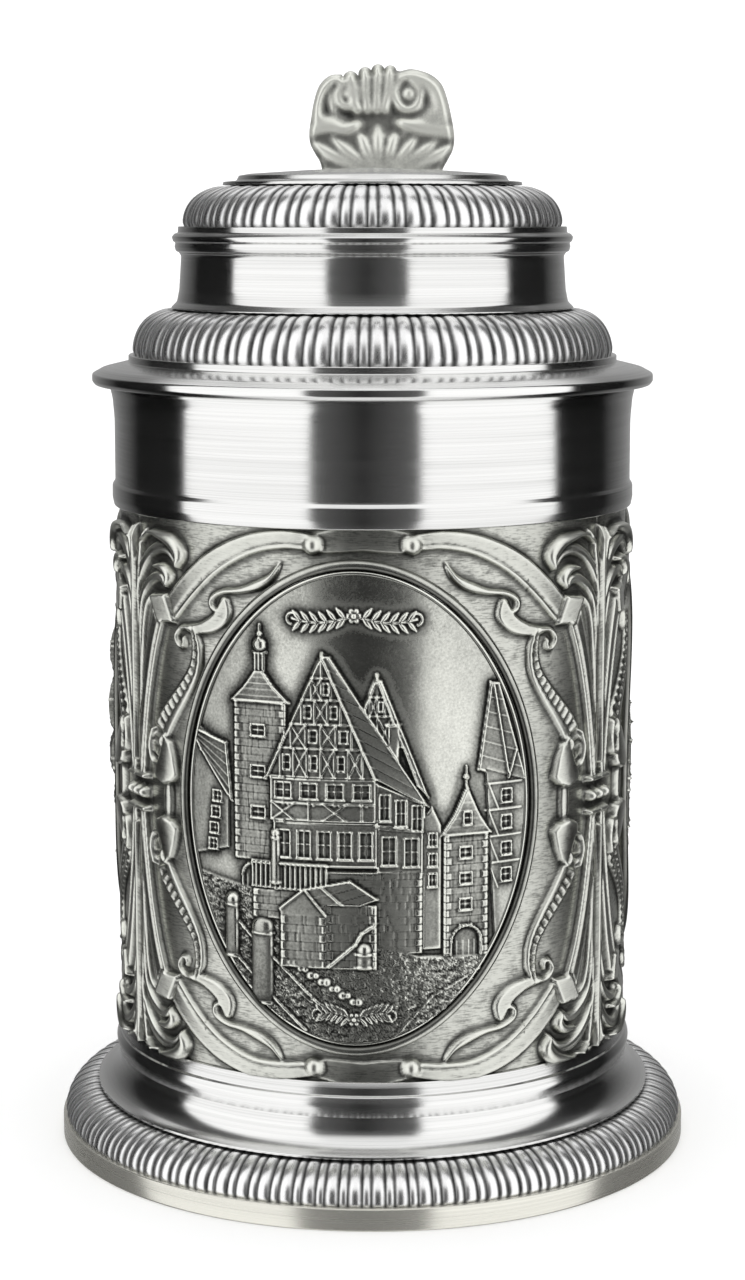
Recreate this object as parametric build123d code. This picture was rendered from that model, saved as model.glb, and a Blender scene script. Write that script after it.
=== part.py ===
from build123d import *
import os

os.makedirs("parts", exist_ok=True)

# Lidded pewter stein with three relief panels. Millimetres, +Z up. The origin is on the
# turning axis, in the plane that the foot stands on. The front medallion faces -Y, and the
# handle, the hinge and the thumblift are at +Y.

# ---- driving dimensions ------------------------------------------------------------------
foot_radius = 53.0
foot_bore = 48.4
foot_rim_height = 3.66
foot_ring_top = 9.3
foot_ring_bore = 44.6
foot_top = 20.4
base_plate_bottom = 10.0
base_plate_top = 12.0

mug_bore = 40.0
barrel_radius = 41.4
panel_radius = 42.4
panel_top = 107.4
band_radius = 42.7
barrel_top = 125.0
lip_height = 127.0

panel_angles = {"front": 0, "left": -120, "right": 120}
plaque_turn = -1.7
medallion_z = 63.9
medallion_half_width = 26.0
medallion_half_height = 36.75
medallion_radius = 43.2
bezel_half_width = 28.3
bezel_half_height = 39.5
bezel_radius = 43.6

flange_radius = 46.25
flange_bottom = 127.2
flange_top = 132.0
seat_ring_outer = 39.4
seat_ring_inner = 37.4
seat_ring_bottom = 124.0
lower_gadroon_top = 139.5
collar_bore = 30.0
collar_top = 148.6
bead_ring_top = 152.8
cap_radius = 24.6
cap_bottom = 157.6
lid_height = 162.3

hinge_y = 51.0
hinge_z = 127.0
knuckle_radius = 3.2
knuckle_length = 3.2
knuckle_gap = 0.2
knuckle_count = 5
pin_radius = 1.2
lid_knuckle_bore = 1.25
pin_head_radius = 2.2
pin_head_length = 1.2
block_bottom = 112.4
block_top = 123.4
block_back = 54.5

handle_width = 11.0
handle_thickness = 8.0
handle_top_z = 117.6
handle_foot_z = 43.0
handle_plate_half_width = 7.5
handle_plate_half_height = 10.0
handle_plate_radius = 43.8
tail_radius = 2.6
tail_ball_radius = 3.4

strap_half_width = 6.0
strap_front = 38.0
strap_back = 46.7
strap_bottom = 127.4
strap_top = 131.9

thumblift_y = 46.0
thumblift_thickness = 5.0
thumblift_top = 181.3


# ---- helpers -----------------------------------------------------------------------------
def outline(points):
    """Closed local face. A third value makes an arc that bulges to the right of travel."""
    edges = []
    for here, there in zip(points, points[1:] + points[:1]):
        if len(here) == 3:
            edges.append(SagittaArc(here[:2], there[:2], -here[2]))
        else:
            edges.append(Line(here[:2], there[:2]))
    return make_face(edges)


def turned(points):
    """Solid of revolution about Z from (radius, z) points."""
    return revolve(Plane.XZ * outline(points), axis=Axis.Z)


def tube(inner, outer, low, high):
    """Plain ring about Z."""
    return turned([(inner, low), (outer, low), (outer, high), (inner, high)])


def oval_prism(half_width, half_height, z, side):
    """Elliptic prism along Y that runs out from the axis, to -Y or to +Y."""
    plane = Plane((0, 0, z), x_dir=(1, 0, 0), z_dir=(0, side, 0))
    return extrude(plane * Ellipse(half_width, half_height), amount=foot_radius)


def side_prism(points, low_x, high_x):
    """Prism along X from (y, z) points."""
    return extrude(Plane.YZ.offset(low_x) * outline(points), amount=high_x - low_x)


def hinge_rod(radius, low_x, high_x):
    """Cylinder about the hinge axis."""
    circle = Plane.YZ.offset(low_x) * Pos(hinge_y, hinge_z) * Circle(radius)
    return extrude(circle, amount=high_x - low_x)


def knuckle_span(index):
    """X range of one hinge knuckle, counted from -X."""
    middle = (index - (knuckle_count - 1) / 2) * (knuckle_length + knuckle_gap)
    return middle - knuckle_length / 2, middle + knuckle_length / 2


def save(shape, node):
    export_step(shape, f"parts/{node}.step")


# ---- foot --------------------------------------------------------------------------------
def make_foot_rim():
    edge = 0.5
    return turned([
        (foot_bore, 0), (foot_radius - edge, 0), (foot_radius, edge),
        (foot_radius, foot_rim_height - edge), (foot_radius - edge, foot_rim_height),
        (foot_bore, foot_rim_height),
    ])


def make_foot_gadroon_ring():
    return turned([
        (foot_bore, foot_rim_height), (52.5, foot_rim_height, 1.5), (47.2, foot_ring_top),
        (foot_ring_bore, foot_ring_top), (foot_ring_bore, 7.6),
    ])


def make_foot_cove():
    return turned([
        (barrel_radius, foot_ring_top), (46.8, foot_ring_top, -0.7), (43.05, 13.8),
        (43.2, 15.3, 0.5), (43.2, 18.2), (42.9, 19.6), (42.5, foot_top), (barrel_radius, foot_top),
    ])


def make_base_plate():
    return turned([
        (0, base_plate_bottom), (barrel_radius, base_plate_bottom),
        (barrel_radius, base_plate_top), (0, base_plate_top),
    ])


# ---- barrel and its relief ---------------------------------------------------------------
def make_barrel():
    return tube(mug_bore, barrel_radius, base_plate_top, barrel_top)


def make_relief_panel():
    """A third of the relief sleeve, centred on -Y."""
    wall = tube(barrel_radius, panel_radius, foot_top, panel_top)
    reach = 2 * foot_radius
    corner = reach * 3 ** 0.5
    sector = make_face(Polyline((0, 0), (-corner, -reach), (corner, -reach), close=True))
    return wall & extrude(sector, amount=lip_height)


def make_medallion():
    wall = tube(panel_radius, medallion_radius, foot_top, panel_top)
    return wall & oval_prism(medallion_half_width, medallion_half_height, medallion_z, -1)


def make_bezel():
    wall = tube(panel_radius, bezel_radius, foot_top, panel_top)
    outer = oval_prism(bezel_half_width, bezel_half_height, medallion_z, -1)
    inner = oval_prism(medallion_half_width, medallion_half_height, medallion_z, -1)
    return (wall & outer) - inner


def make_rim_band():
    return turned([
        (barrel_radius, panel_top), (42.6, panel_top), (42.8, 108.2, 0.4), (42.8, 111.5),
        (band_radius, 112.0), (band_radius, 121.5, -0.2), (43.5, 126.2, 0.25), (42.9, lip_height),
        (mug_bore, lip_height), (mug_bore, barrel_top), (barrel_radius, barrel_top),
    ])


# ---- handle and hinge --------------------------------------------------------------------
def make_hinge_block(rim_band):
    """Casting behind the rim band that carries the three mug knuckles."""
    low_end, high_end = knuckle_span(0)[0], knuckle_span(knuckle_count - 1)[1]
    block = side_prism([
        (mug_bore + 2, block_bottom), (block_back - 3, block_bottom, 0.9),
        (block_back, block_bottom + 3), (block_back, block_top), (mug_bore + 2, block_top),
    ], low_end, high_end)
    for index in range(0, knuckle_count, 2):
        low, high = knuckle_span(index)
        web = side_prism([
            (hinge_y - knuckle_radius, block_top), (hinge_y + knuckle_radius, block_top),
            (hinge_y + knuckle_radius, hinge_z), (hinge_y - knuckle_radius, hinge_z),
        ], low, high)
        block += web
        block += hinge_rod(knuckle_radius, low, high)
    return block - hinge_rod(pin_radius, low_end, high_end) - rim_band


def make_hinge_pin():
    return hinge_rod(pin_radius, knuckle_span(0)[0], knuckle_span(knuckle_count - 1)[1])


def make_hinge_pin_heads():
    """Peened heads on both ends of the pin."""
    end = knuckle_span(knuckle_count - 1)[1]
    head = turned([
        (0, 0), (pin_head_radius, 0), (pin_head_radius - 0.8, pin_head_length), (0, pin_head_length),
    ])
    right = Pos(end, hinge_y, hinge_z) * Rot(0, 90, 0) * head
    left = Pos(-end, hinge_y, hinge_z) * Rot(0, -90, 0) * head
    return Compound(children=[left, right])


def make_handle_plate():
    wall = tube(panel_radius, handle_plate_radius, foot_top, panel_top)
    return wall & oval_prism(handle_plate_half_width, handle_plate_half_height, handle_foot_z, 1)


def make_handle(handle_plate):
    """Ear-shaped grip of oval section with a curled tail, from the hinge block to its plate."""
    outer_point, lower_point = (84, 93), (71, 59)
    root = Line((block_back, handle_top_z), (60, handle_top_z))
    bend = TangentArc(root @ 1, outer_point, tangent=root % 1)
    grip = TangentArc(bend @ 1, lower_point, tangent=bend % 1)
    foot = TangentArc(grip @ 1, (panel_radius, handle_foot_z), tangent=grip % 1)
    path = Plane.YZ * Wire([root, bend, grip, foot])
    start = Plane((0, block_back, handle_top_z), x_dir=(1, 0, 0), z_dir=(0, 1, 0))
    body = sweep(start * Ellipse(handle_width / 2, handle_thickness / 2), path=path)
    tail_start, tail_turn, tail_end = (66, 53), (70, 46), (65, 40)
    tail_path = Plane.YZ * ThreePointArc(tail_start, tail_turn, tail_end)
    tail = sweep((tail_path ^ 0) * Circle(tail_radius), path=tail_path)
    ball = Pos(0, *tail_end) * Sphere(tail_ball_radius)
    return body + tail + ball - handle_plate - Cylinder(panel_radius, 2 * lip_height)


# ---- lid ---------------------------------------------------------------------------------
def make_lid_flange():
    return turned([
        (seat_ring_inner, flange_bottom), (flange_radius - 0.5, flange_bottom, 0.15),
        (flange_radius, 127.8), (flange_radius, 128.8, 0.15), (44.6, 130.1), (41.6, 131.1),
        (39.7, flange_top), (seat_ring_inner, flange_top),
    ])


def make_lid_seat_ring():
    return tube(seat_ring_inner, seat_ring_outer, seat_ring_bottom, flange_bottom)


def make_lid_lower_gadroon():
    return turned([
        (seat_ring_inner, flange_top), (39.7, flange_top), (38.5, 136.0, 1.1),
        (33.4, lower_gadroon_top), (31.2, lower_gadroon_top), (31.2, 138.2, -0.9), (36.2, 135.2),
    ])


def make_lid_collar():
    return turned([
        (collar_bore, lower_gadroon_top), (33.3, lower_gadroon_top, -0.25), (31.9, 141.8),
        (31.45, 147.4), (31.9, collar_top), (collar_bore, collar_top),
    ])


def make_lid_bead_ring():
    return turned([
        (collar_bore, collar_top), (31.9, collar_top, 0.45), (32.0, 150.3, 0.45),
        (32.0, 151.9), (31.5, bead_ring_top), (collar_bore, bead_ring_top),
    ])


def make_lid_upper_gadroon():
    return turned([
        (29.4, bead_ring_top), (31.2, bead_ring_top), (30.6, 155.4, 0.8),
        (cap_radius, 159.4), (22.6, 159.4), (22.6, cap_bottom, -0.6), (28.6, 154.8),
    ])


def make_lid_cap():
    """Stepped disc that closes the crown."""
    return turned([
        (0, cap_bottom), (22.6, cap_bottom), (22.6, 159.4), (cap_radius, 159.4),
        (22.1, 160.4), (19.0, 161.2), (10.8, 161.7), (0, lid_height),
    ])


def make_lid_strap(lid_flange, lid_lower_gadroon):
    """Plate on the rear of the flange, with the two lid knuckles."""
    strap = side_prism([
        (strap_front, strap_bottom), (strap_back, strap_bottom), (strap_back, 130.2),
        (45.4, strap_top), (strap_front, strap_top),
    ], -strap_half_width, strap_half_width)
    for index in range(1, knuckle_count, 2):
        low, high = knuckle_span(index)
        strap += side_prism([
            (strap_back - 1, 128.0), (hinge_y, 128.0), (hinge_y, hinge_z + knuckle_radius),
            (strap_back - 1, hinge_z + knuckle_radius),
        ], low, high)
        strap += hinge_rod(knuckle_radius, low, high)
    bore = hinge_rod(lid_knuckle_bore, -strap_half_width, strap_half_width)
    lid_core = Pos(0, 0, strap_bottom) * Cylinder(seat_ring_outer, 2 * lip_height)
    return strap - bore - lid_core - lid_flange - lid_lower_gadroon


def make_thumblift():
    """Upright plate with a waisted stem and a broad scrolled head, in outer outline."""
    right_side = Spline(
        (5.2, strap_top), (4.6, 138), (6.2, 148), (10.0, 157), (11.8, 163.5), (13.1, 168.5),
        (12.1, 175), (9.9, 178.9), (0, thumblift_top),
        tangents=[(-0.2, 1), (-1, 0)],
    )
    middle = Line(right_side @ 1, (0, strap_top))
    half = make_face([right_side, middle, Line(middle @ 1, right_side @ 0)])
    plane = Plane.XZ.offset(-thumblift_y - thumblift_thickness / 2)
    face = half + mirror(half, about=Plane.YZ)
    return extrude(plane * face, amount=thumblift_thickness)


# ---- assembly ----------------------------------------------------------------------------
rim_band = make_rim_band()
handle_plate = make_handle_plate()
lid_flange = make_lid_flange()
lid_lower_gadroon = make_lid_lower_gadroon()

nodes = {
    "foot_rim": make_foot_rim(),
    "foot_gadroon_ring": make_foot_gadroon_ring(),
    "foot_cove": make_foot_cove(),
    "base_plate": make_base_plate(),
    "barrel": make_barrel(),
    "rim_band": rim_band,
    "hinge_block": make_hinge_block(rim_band),
    "hinge_pin": make_hinge_pin(),
    "hinge_pin_heads": make_hinge_pin_heads(),
    "handle": make_handle(handle_plate),
    "handle_plate": handle_plate,
    "lid_flange": lid_flange,
    "lid_seat_ring": make_lid_seat_ring(),
    "lid_lower_gadroon": lid_lower_gadroon,
    "lid_collar": make_lid_collar(),
    "lid_bead_ring": make_lid_bead_ring(),
    "lid_upper_gadroon": make_lid_upper_gadroon(),
    "lid_cap": make_lid_cap(),
    "lid_strap": make_lid_strap(lid_flange, lid_lower_gadroon),
    "thumblift": make_thumblift(),
}
for place, angle in panel_angles.items():
    nodes[f"relief_panel_{place}"] = Rot(0, 0, angle) * make_relief_panel()
    # The applied plaques sit a little off the middle of their panels.
    nodes[f"medallion_{place}"] = Rot(0, 0, angle + plaque_turn) * make_medallion()
    nodes[f"bezel_{place}"] = Rot(0, 0, angle + plaque_turn) * make_bezel()

for node, shape in nodes.items():
    save(shape, node)
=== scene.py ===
import math

import bmesh
import bpy
import numpy as np
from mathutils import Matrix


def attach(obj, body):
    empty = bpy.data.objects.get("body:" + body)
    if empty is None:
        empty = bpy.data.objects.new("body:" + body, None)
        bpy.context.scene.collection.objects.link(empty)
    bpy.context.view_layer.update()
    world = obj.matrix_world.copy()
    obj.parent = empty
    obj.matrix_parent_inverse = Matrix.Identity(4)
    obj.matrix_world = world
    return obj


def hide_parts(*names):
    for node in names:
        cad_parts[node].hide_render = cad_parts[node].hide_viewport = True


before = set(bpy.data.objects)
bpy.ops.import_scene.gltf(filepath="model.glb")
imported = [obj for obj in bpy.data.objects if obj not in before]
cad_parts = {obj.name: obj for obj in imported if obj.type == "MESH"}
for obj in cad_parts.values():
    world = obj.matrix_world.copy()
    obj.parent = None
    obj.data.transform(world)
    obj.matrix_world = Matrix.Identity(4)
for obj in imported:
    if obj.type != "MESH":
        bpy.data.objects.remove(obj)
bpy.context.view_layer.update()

MM = 0.001
TURN = 2 * math.pi


# ---- mesh helpers --------------------------------------------------------------------------
def place(obj, node, body, material):
    """Puts a piece in the scene in place of one CAD node."""
    obj.data.materials.append(material)
    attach(obj, body)
    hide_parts(node)
    return obj


def new_object(name, vertices, faces, sharp=None):
    """Mesh object from vertices in millimetres. Faces are an array of quads."""
    mesh = bpy.data.meshes.new(name)
    vertices = np.asarray(vertices, dtype=np.float64) * MM
    faces = np.asarray(faces, dtype=np.int32)
    mesh.vertices.add(len(vertices))
    mesh.vertices.foreach_set("co", vertices.ravel())
    mesh.loops.add(faces.size)
    mesh.loops.foreach_set("vertex_index", faces.ravel())
    mesh.polygons.add(len(faces))
    mesh.polygons.foreach_set("loop_start", np.arange(0, faces.size, faces.shape[1], dtype=np.int32))
    mesh.update(calc_edges=True)
    mesh.polygons.foreach_set("use_smooth", np.ones(len(faces), dtype=bool))
    mesh.validate()
    if sharp:
        mesh.set_sharp_from_angle(angle=math.radians(sharp))
    obj = bpy.data.objects.new(name, mesh)
    bpy.context.scene.collection.objects.link(obj)
    return obj


def grid_faces(rows, columns, wrap_rows, wrap_columns):
    """Quads over a rows x columns grid of vertices, closed in either direction."""
    i = np.arange(rows if wrap_rows else rows - 1)
    j = np.arange(columns if wrap_columns else columns - 1)
    i, j = np.meshgrid(i, j, indexing="ij")
    down, right = (i + 1) % rows, (j + 1) % columns
    corners = [i * columns + j, i * columns + right, down * columns + right, down * columns + j]
    return np.stack(corners, axis=-1).reshape(-1, 4)


def weld(obj):
    """Closes a surface where its edges meet."""
    work = bmesh.new()
    work.from_mesh(obj.data)
    bmesh.ops.remove_doubles(work, verts=work.verts, dist=1e-7)
    bmesh.ops.dissolve_degenerate(work, edges=work.edges, dist=1e-8)
    work.to_mesh(obj.data)
    work.free()
    return obj


def add_attribute(obj, name, values):
    layer = obj.data.attributes.new(name, "FLOAT", "POINT")
    layer.data.foreach_set("value", np.asarray(values, dtype=np.float32).ravel())


def angles_round(count):
    """Even steps round a full turn."""
    return np.arange(count) * TURN / count


def rounded(points, default=0.12, step=0.22):
    """Outline whose corners are rounded. A point is (r, z) or (r, z, corner radius)."""
    result = []
    count = len(points)
    for k in range(count):
        here = np.array(points[k][:2], dtype=float)
        before = np.array(points[k - 1][:2]) - here
        after = np.array(points[(k + 1) % count][:2]) - here
        radius = points[k][2] if len(points[k]) > 2 else default
        len_before, len_after = np.linalg.norm(before), np.linalg.norm(after)
        before, after = before / len_before, after / len_after
        half = math.acos(float(np.clip(before @ after, -1, 1))) / 2
        if here[0] <= 0 or half > 1.55 or radius <= 0:
            result.append(here)
            continue
        reach = min(radius / math.tan(half), 0.49 * len_before, 0.49 * len_after)
        radius = reach * math.tan(half)
        middle = (before + after) / np.linalg.norm(before + after)
        centre = here + middle * radius / math.sin(half)
        start, end = here + before * reach - centre, here + after * reach - centre
        a, b = math.atan2(start[1], start[0]), math.atan2(end[1], end[0])
        turn = (b - a + math.pi) % TURN - math.pi
        pieces = max(2, int(abs(turn) / step) + 1)
        for n in range(pieces + 1):
            t = a + turn * n / pieces
            result.append(centre + radius * np.array([math.cos(t), math.sin(t)]))
    return np.array(result)


def revolve(name, outline, segments=288):
    """Closed solid of revolution from a closed (r, z) outline."""
    theta = angles_round(segments)
    r, z = outline[:, 0], outline[:, 1]
    x = np.outer(np.cos(theta), r)
    y = np.outer(np.sin(theta), r)
    vertices = np.stack([x, y, np.broadcast_to(z, x.shape)], axis=-1).reshape(-1, 3)
    faces = grid_faces(segments, len(outline), True, True)
    obj = new_object(name, vertices, faces, sharp=40)
    if r.min() <= 0:
        weld(obj)
    return obj


# ---- materials -----------------------------------------------------------------------------
class Tree:
    """Short names for building a node tree."""

    def __init__(self, tree):
        self.tree = tree
        tree.nodes.clear()

    def node(self, kind, **settings):
        node = self.tree.nodes.new(kind)
        for key, value in settings.items():
            setattr(node, key, value)
        return node

    def link(self, source, target):
        self.tree.links.new(source, target)

    def math(self, operation, a, b=0.0, c=0.0):
        node = self.node("ShaderNodeMath", operation=operation)
        for socket, value in zip(node.inputs, (a, b, c)):
            if isinstance(value, (int, float)):
                socket.default_value = value
            else:
                self.link(value, socket)
        return node.outputs[0]


class Nodes(Tree):
    """Node tree of one material."""

    def __init__(self, name):
        self.material = bpy.data.materials.new(name)
        self.material.use_nodes = True
        super().__init__(self.material.node_tree)
        self.output = self.node("ShaderNodeOutputMaterial")
        self.shader = self.node("ShaderNodeBsdfPrincipled")
        self.link(self.shader.outputs[0], self.output.inputs[0])

    def ramp(self, value, stops):
        """Piecewise-linear grey or colour ramp from (position, colour) stops."""
        node = self.node("ShaderNodeValToRGB")
        self.link(value, node.inputs[0])
        ramp = node.color_ramp
        while len(ramp.elements) < len(stops):
            ramp.elements.new(0.5)
        for element, (position, colour) in zip(ramp.elements, stops):
            element.position = position
            grey = (colour,) * 3 if isinstance(colour, (int, float)) else colour
            element.color = (*grey, 1.0)
        return node.outputs[0]

    def noise(self, vector, scale, detail=2.0, roughness=0.5):
        node = self.node("ShaderNodeTexNoise")
        self.link(vector, node.inputs["Vector"])
        node.inputs["Scale"].default_value = scale
        node.inputs["Detail"].default_value = detail
        node.inputs["Roughness"].default_value = roughness
        return node.outputs[0]

    def position(self):
        """Object position in metres."""
        return self.node("ShaderNodeTexCoord").outputs["Object"]

    def lathe_place(self, along, across):
        """Coordinates that run slowly round the axis and fast across the brush lines."""
        split = self.node("ShaderNodeSeparateXYZ")
        self.link(self.position(), split.inputs[0])
        x, y, z = split.outputs
        square = self.math("ADD", self.math("MULTIPLY", x, x), self.math("MULTIPLY", y, y))
        radius = self.math("SQRT", square)
        line = self.math("SUBTRACT", z, self.math("MULTIPLY", radius, 0.9))
        join = self.node("ShaderNodeCombineXYZ")
        self.link(self.math("MULTIPLY", x, along), join.inputs[0])
        self.link(self.math("MULTIPLY", y, along), join.inputs[1])
        self.link(self.math("MULTIPLY", line, across), join.inputs[2])
        return join.outputs[0]

    def bump(self, height, strength, distance, normal=None):
        node = self.node("ShaderNodeBump")
        node.inputs["Strength"].default_value = strength
        node.inputs["Distance"].default_value = distance
        self.link(height, node.inputs["Height"])
        if normal is not None:
            self.link(normal, node.inputs["Normal"])
        return node.outputs[0]

    def finish(self, colour=None, roughness=None, normal=None, metallic=1.0):
        self.shader.inputs["Metallic"].default_value = metallic
        for name, value in (("Base Color", colour), ("Roughness", roughness), ("Normal", normal)):
            if value is not None:
                self.link(value, self.shader.inputs[name])
        return self.material


def turned_pewter(name, light, dark, roughness, line_depth, metallic=1.0):
    """Bright pewter with circular brush lines from the lathe."""
    n = Nodes(name)
    lines = n.noise(n.lathe_place(9.0, 5200.0), 1.0, 3.0, 0.62)
    broad = n.noise(n.lathe_place(14.0, 620.0), 1.0, 2.0, 0.5)
    tone = n.math("ADD", n.math("MULTIPLY", lines, 0.55), n.math("MULTIPLY", broad, 0.45))
    colour = n.ramp(tone, [(0.30, dark), (0.62, light)])
    rough = n.ramp(tone, [(0.30, roughness + 0.07), (0.65, roughness - 0.03)])
    normal = n.bump(lines, 0.22, line_depth)
    n.shader.inputs["Anisotropic"].default_value = 0.85
    n.shader.inputs["Anisotropic Rotation"].default_value = 0.25
    tangent = n.node("ShaderNodeTangent", direction_type="RADIAL", axis="Z")
    n.link(tangent.outputs[0], n.shader.inputs["Tangent"])
    return n.finish(colour, rough, normal, metallic)


def cast_pewter(name, stops, rough_stops, grain, metallic=1.0, chasing=0.0, speckle=0.16, mottling=0.30,
                tint=(1.0, 1.0, 1.0)):
    """Antiqued cast pewter. Its vertex attribute runs from 0, dark tarnish and painted shade in recesses, to
    1, handling polish and a painted highlight on raised edges.
    """
    n = Nodes(name)
    wear_and_painted_light = n.node("ShaderNodeAttribute", attribute_name="wear_and_painted_light").outputs["Fac"]
    position = n.position()
    mottle = n.noise(position, 420.0, 4.0, 0.6)
    fine = n.noise(position, 2600.0, 3.0, 0.6)
    shift = n.math("MULTIPLY", n.math("SUBTRACT", mottle, 0.5), mottling)
    shift = n.math("ADD", shift, n.math("MULTIPLY", n.math("SUBTRACT", fine, 0.5), speckle))
    worn_with_painted_light = n.math("ADD", wear_and_painted_light, shift)
    normal = n.bump(fine, 0.25, grain)
    if chasing:
        strokes = n.ramp(n.noise(n.lathe_place(700.0, 4600.0), 1.0, 2.0, 0.5), [(0.34, 0.0), (0.56, 1.0)])
        worn_with_painted_light = n.math("ADD", worn_with_painted_light, n.math("MULTIPLY", n.math("SUBTRACT", strokes, 0.8), chasing))
        normal = n.bump(strokes, 0.3, 4e-5, normal)
    colour = n.ramp(worn_with_painted_light, [(position, tuple(grey * part for part in tint)) for position, grey in stops])
    rough = n.ramp(worn_with_painted_light, rough_stops)
    return n.finish(colour, rough, normal, metallic)


# Slightly green and yellow cast of the old dark finish.
AGED = (0.99, 1.0, 0.925)
bright = turned_pewter("turned_bright", (0.88, 0.88, 0.87), (0.70, 0.70, 0.69), 0.17, 3e-5)
brushed = turned_pewter("turned_brushed", (0.90, 0.90, 0.89), (0.74, 0.74, 0.73), 0.17, 2.5e-5)
satin = turned_pewter("turned_satin", (0.80, 0.79, 0.72), (0.66, 0.65, 0.59), 0.24, 3e-5, 0.80)
gadroon = cast_pewter("gadroon", [(0.05, 0.03), (0.40, 0.34), (0.74, 0.97)], [(0.0, 0.5), (1.0, 0.26)], 2e-5)


# ---- turned rings --------------------------------------------------------------------------
# Heights at which the rings of the mug, then of the lid, meet.
FOOT_RIM_TOP, FOOT_LOBES_TOP, COVE_TOP, BAND_BOTTOM, LIP_TOP = 3.66, 9.3, 20.4, 107.4, 127.0
FLANGE_TOP, LOWER_LOBES_TOP, COLLAR_TOP, BEADS_TOP = 132.0, 139.5, 148.6, 152.75
CAP_BOTTOM, CAP_EDGE = 157.6, 159.4
# Radii that neighbouring rings share.
FOOT_R, FOOT_BORE, BARREL_R = 53.0, 48.4, 41.4
SEAT_BORE, COLLAR_BORE, CAP_R, CAP_SEAT = 37.4, 30.0, 24.6, 22.6
# Centre (r, z) and radius of the hollow moulding above the foot.
COVE_R, COVE_Z, COVE_RADIUS = 47.4, 14.1, 4.4


def turned_piece(node, body, material, outline):
    obj = revolve(node + "_look", rounded(outline))
    return place(obj, node, body, material)


turned_piece("foot_rim", "mug", satin, [
    (FOOT_BORE, 0), (FOOT_R, 0, 0.3), (FOOT_R, FOOT_RIM_TOP, 0.35), (FOOT_BORE, FOOT_RIM_TOP)])
cove = [(COVE_R - COVE_RADIUS * math.cos(a), COVE_Z - COVE_RADIUS * math.sin(a), 0)
        for a in np.linspace(1.45, 0, 20)]
turned_piece("foot_cove", "mug", bright, [
    (BARREL_R, FOOT_LOBES_TOP), (46.9, FOOT_LOBES_TOP, 0.1)] + cove + [
    (43.0, 14.8, 0), (43.35, 14.95, 0.1), (43.5, 15.6, 0.3), (43.75, 16.9, 1.6), (43.3, 18.2, 0.3),
    (42.9, 18.4, 0.15), (42.9, 19.6, 0.15), (42.5, COVE_TOP), (BARREL_R, COVE_TOP)])
turned_piece("rim_band", "mug", bright, [
    (BARREL_R, BAND_BOTTOM), (42.9, BAND_BOTTOM, 0.3), (43.17, 108.8, 1.5), (43.14, 110.7, 0.5),
    (42.76, 111.3, 0.1), (42.68, 111.6), (42.66, 121.5, 20.0), (42.95, 125.0, 6.0), (43.3, 126.5, 0.2),
    (43.25, LIP_TOP, 0.1), (40.0, LIP_TOP), (40.0, 125.0), (BARREL_R, 125.0)])
turned_piece("lid_flange", "lid", brushed, [
    (SEAT_BORE, 127.2), (45.8, 127.2, 0.3), (46.25, 127.8, 0.5), (46.25, 128.9, 0.5), (44.6, 129.8, 2.0),
    (40.9, 130.7, 0.6), (40.25, 130.8, 0.15), (40.25, 131.9, 0.2), (39.9, FLANGE_TOP, 0.08),
    (SEAT_BORE, FLANGE_TOP)])
turned_piece("lid_collar", "lid", bright, [
    (COLLAR_BORE, LOWER_LOBES_TOP), (33.3, LOWER_LOBES_TOP, 0.15), (32.2, 140.6, 0.8), (31.8, 142.6, 2.0),
    (31.45, 147.9, 0.6), (31.6, 148.3, 0.2), (31.9, COLLAR_TOP, 0.1), (COLLAR_BORE, COLLAR_TOP)])
turned_piece("lid_bead_ring", "lid", bright, [
    (COLLAR_BORE, COLLAR_TOP), (31.9, COLLAR_TOP, 0.1), (32.3, 148.8, 0.3), (32.5, 149.5, 0.4),
    (32.38, 150.1, 0.1),
    (32.75, 150.4, 0.3), (32.95, 151.1, 0.4), (32.5, 151.6, 0.3), (31.95, 151.75, 0.25),
    (31.9, BEADS_TOP, 0.1),
    (COLLAR_BORE, BEADS_TOP)])
turned_piece("lid_cap", "lid", bright, [
    (0, CAP_BOTTOM), (CAP_SEAT, CAP_BOTTOM), (CAP_SEAT, CAP_EDGE), (CAP_R, CAP_EDGE, 0.1),
    (24.45, 159.95, 0.2),
    (22.3, 160.15, 0.3), (21.9, 160.95, 0.3), (20.2, 161.25, 0.5), (10.8, 161.85, 20.0), (0, 162.3)])


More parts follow.
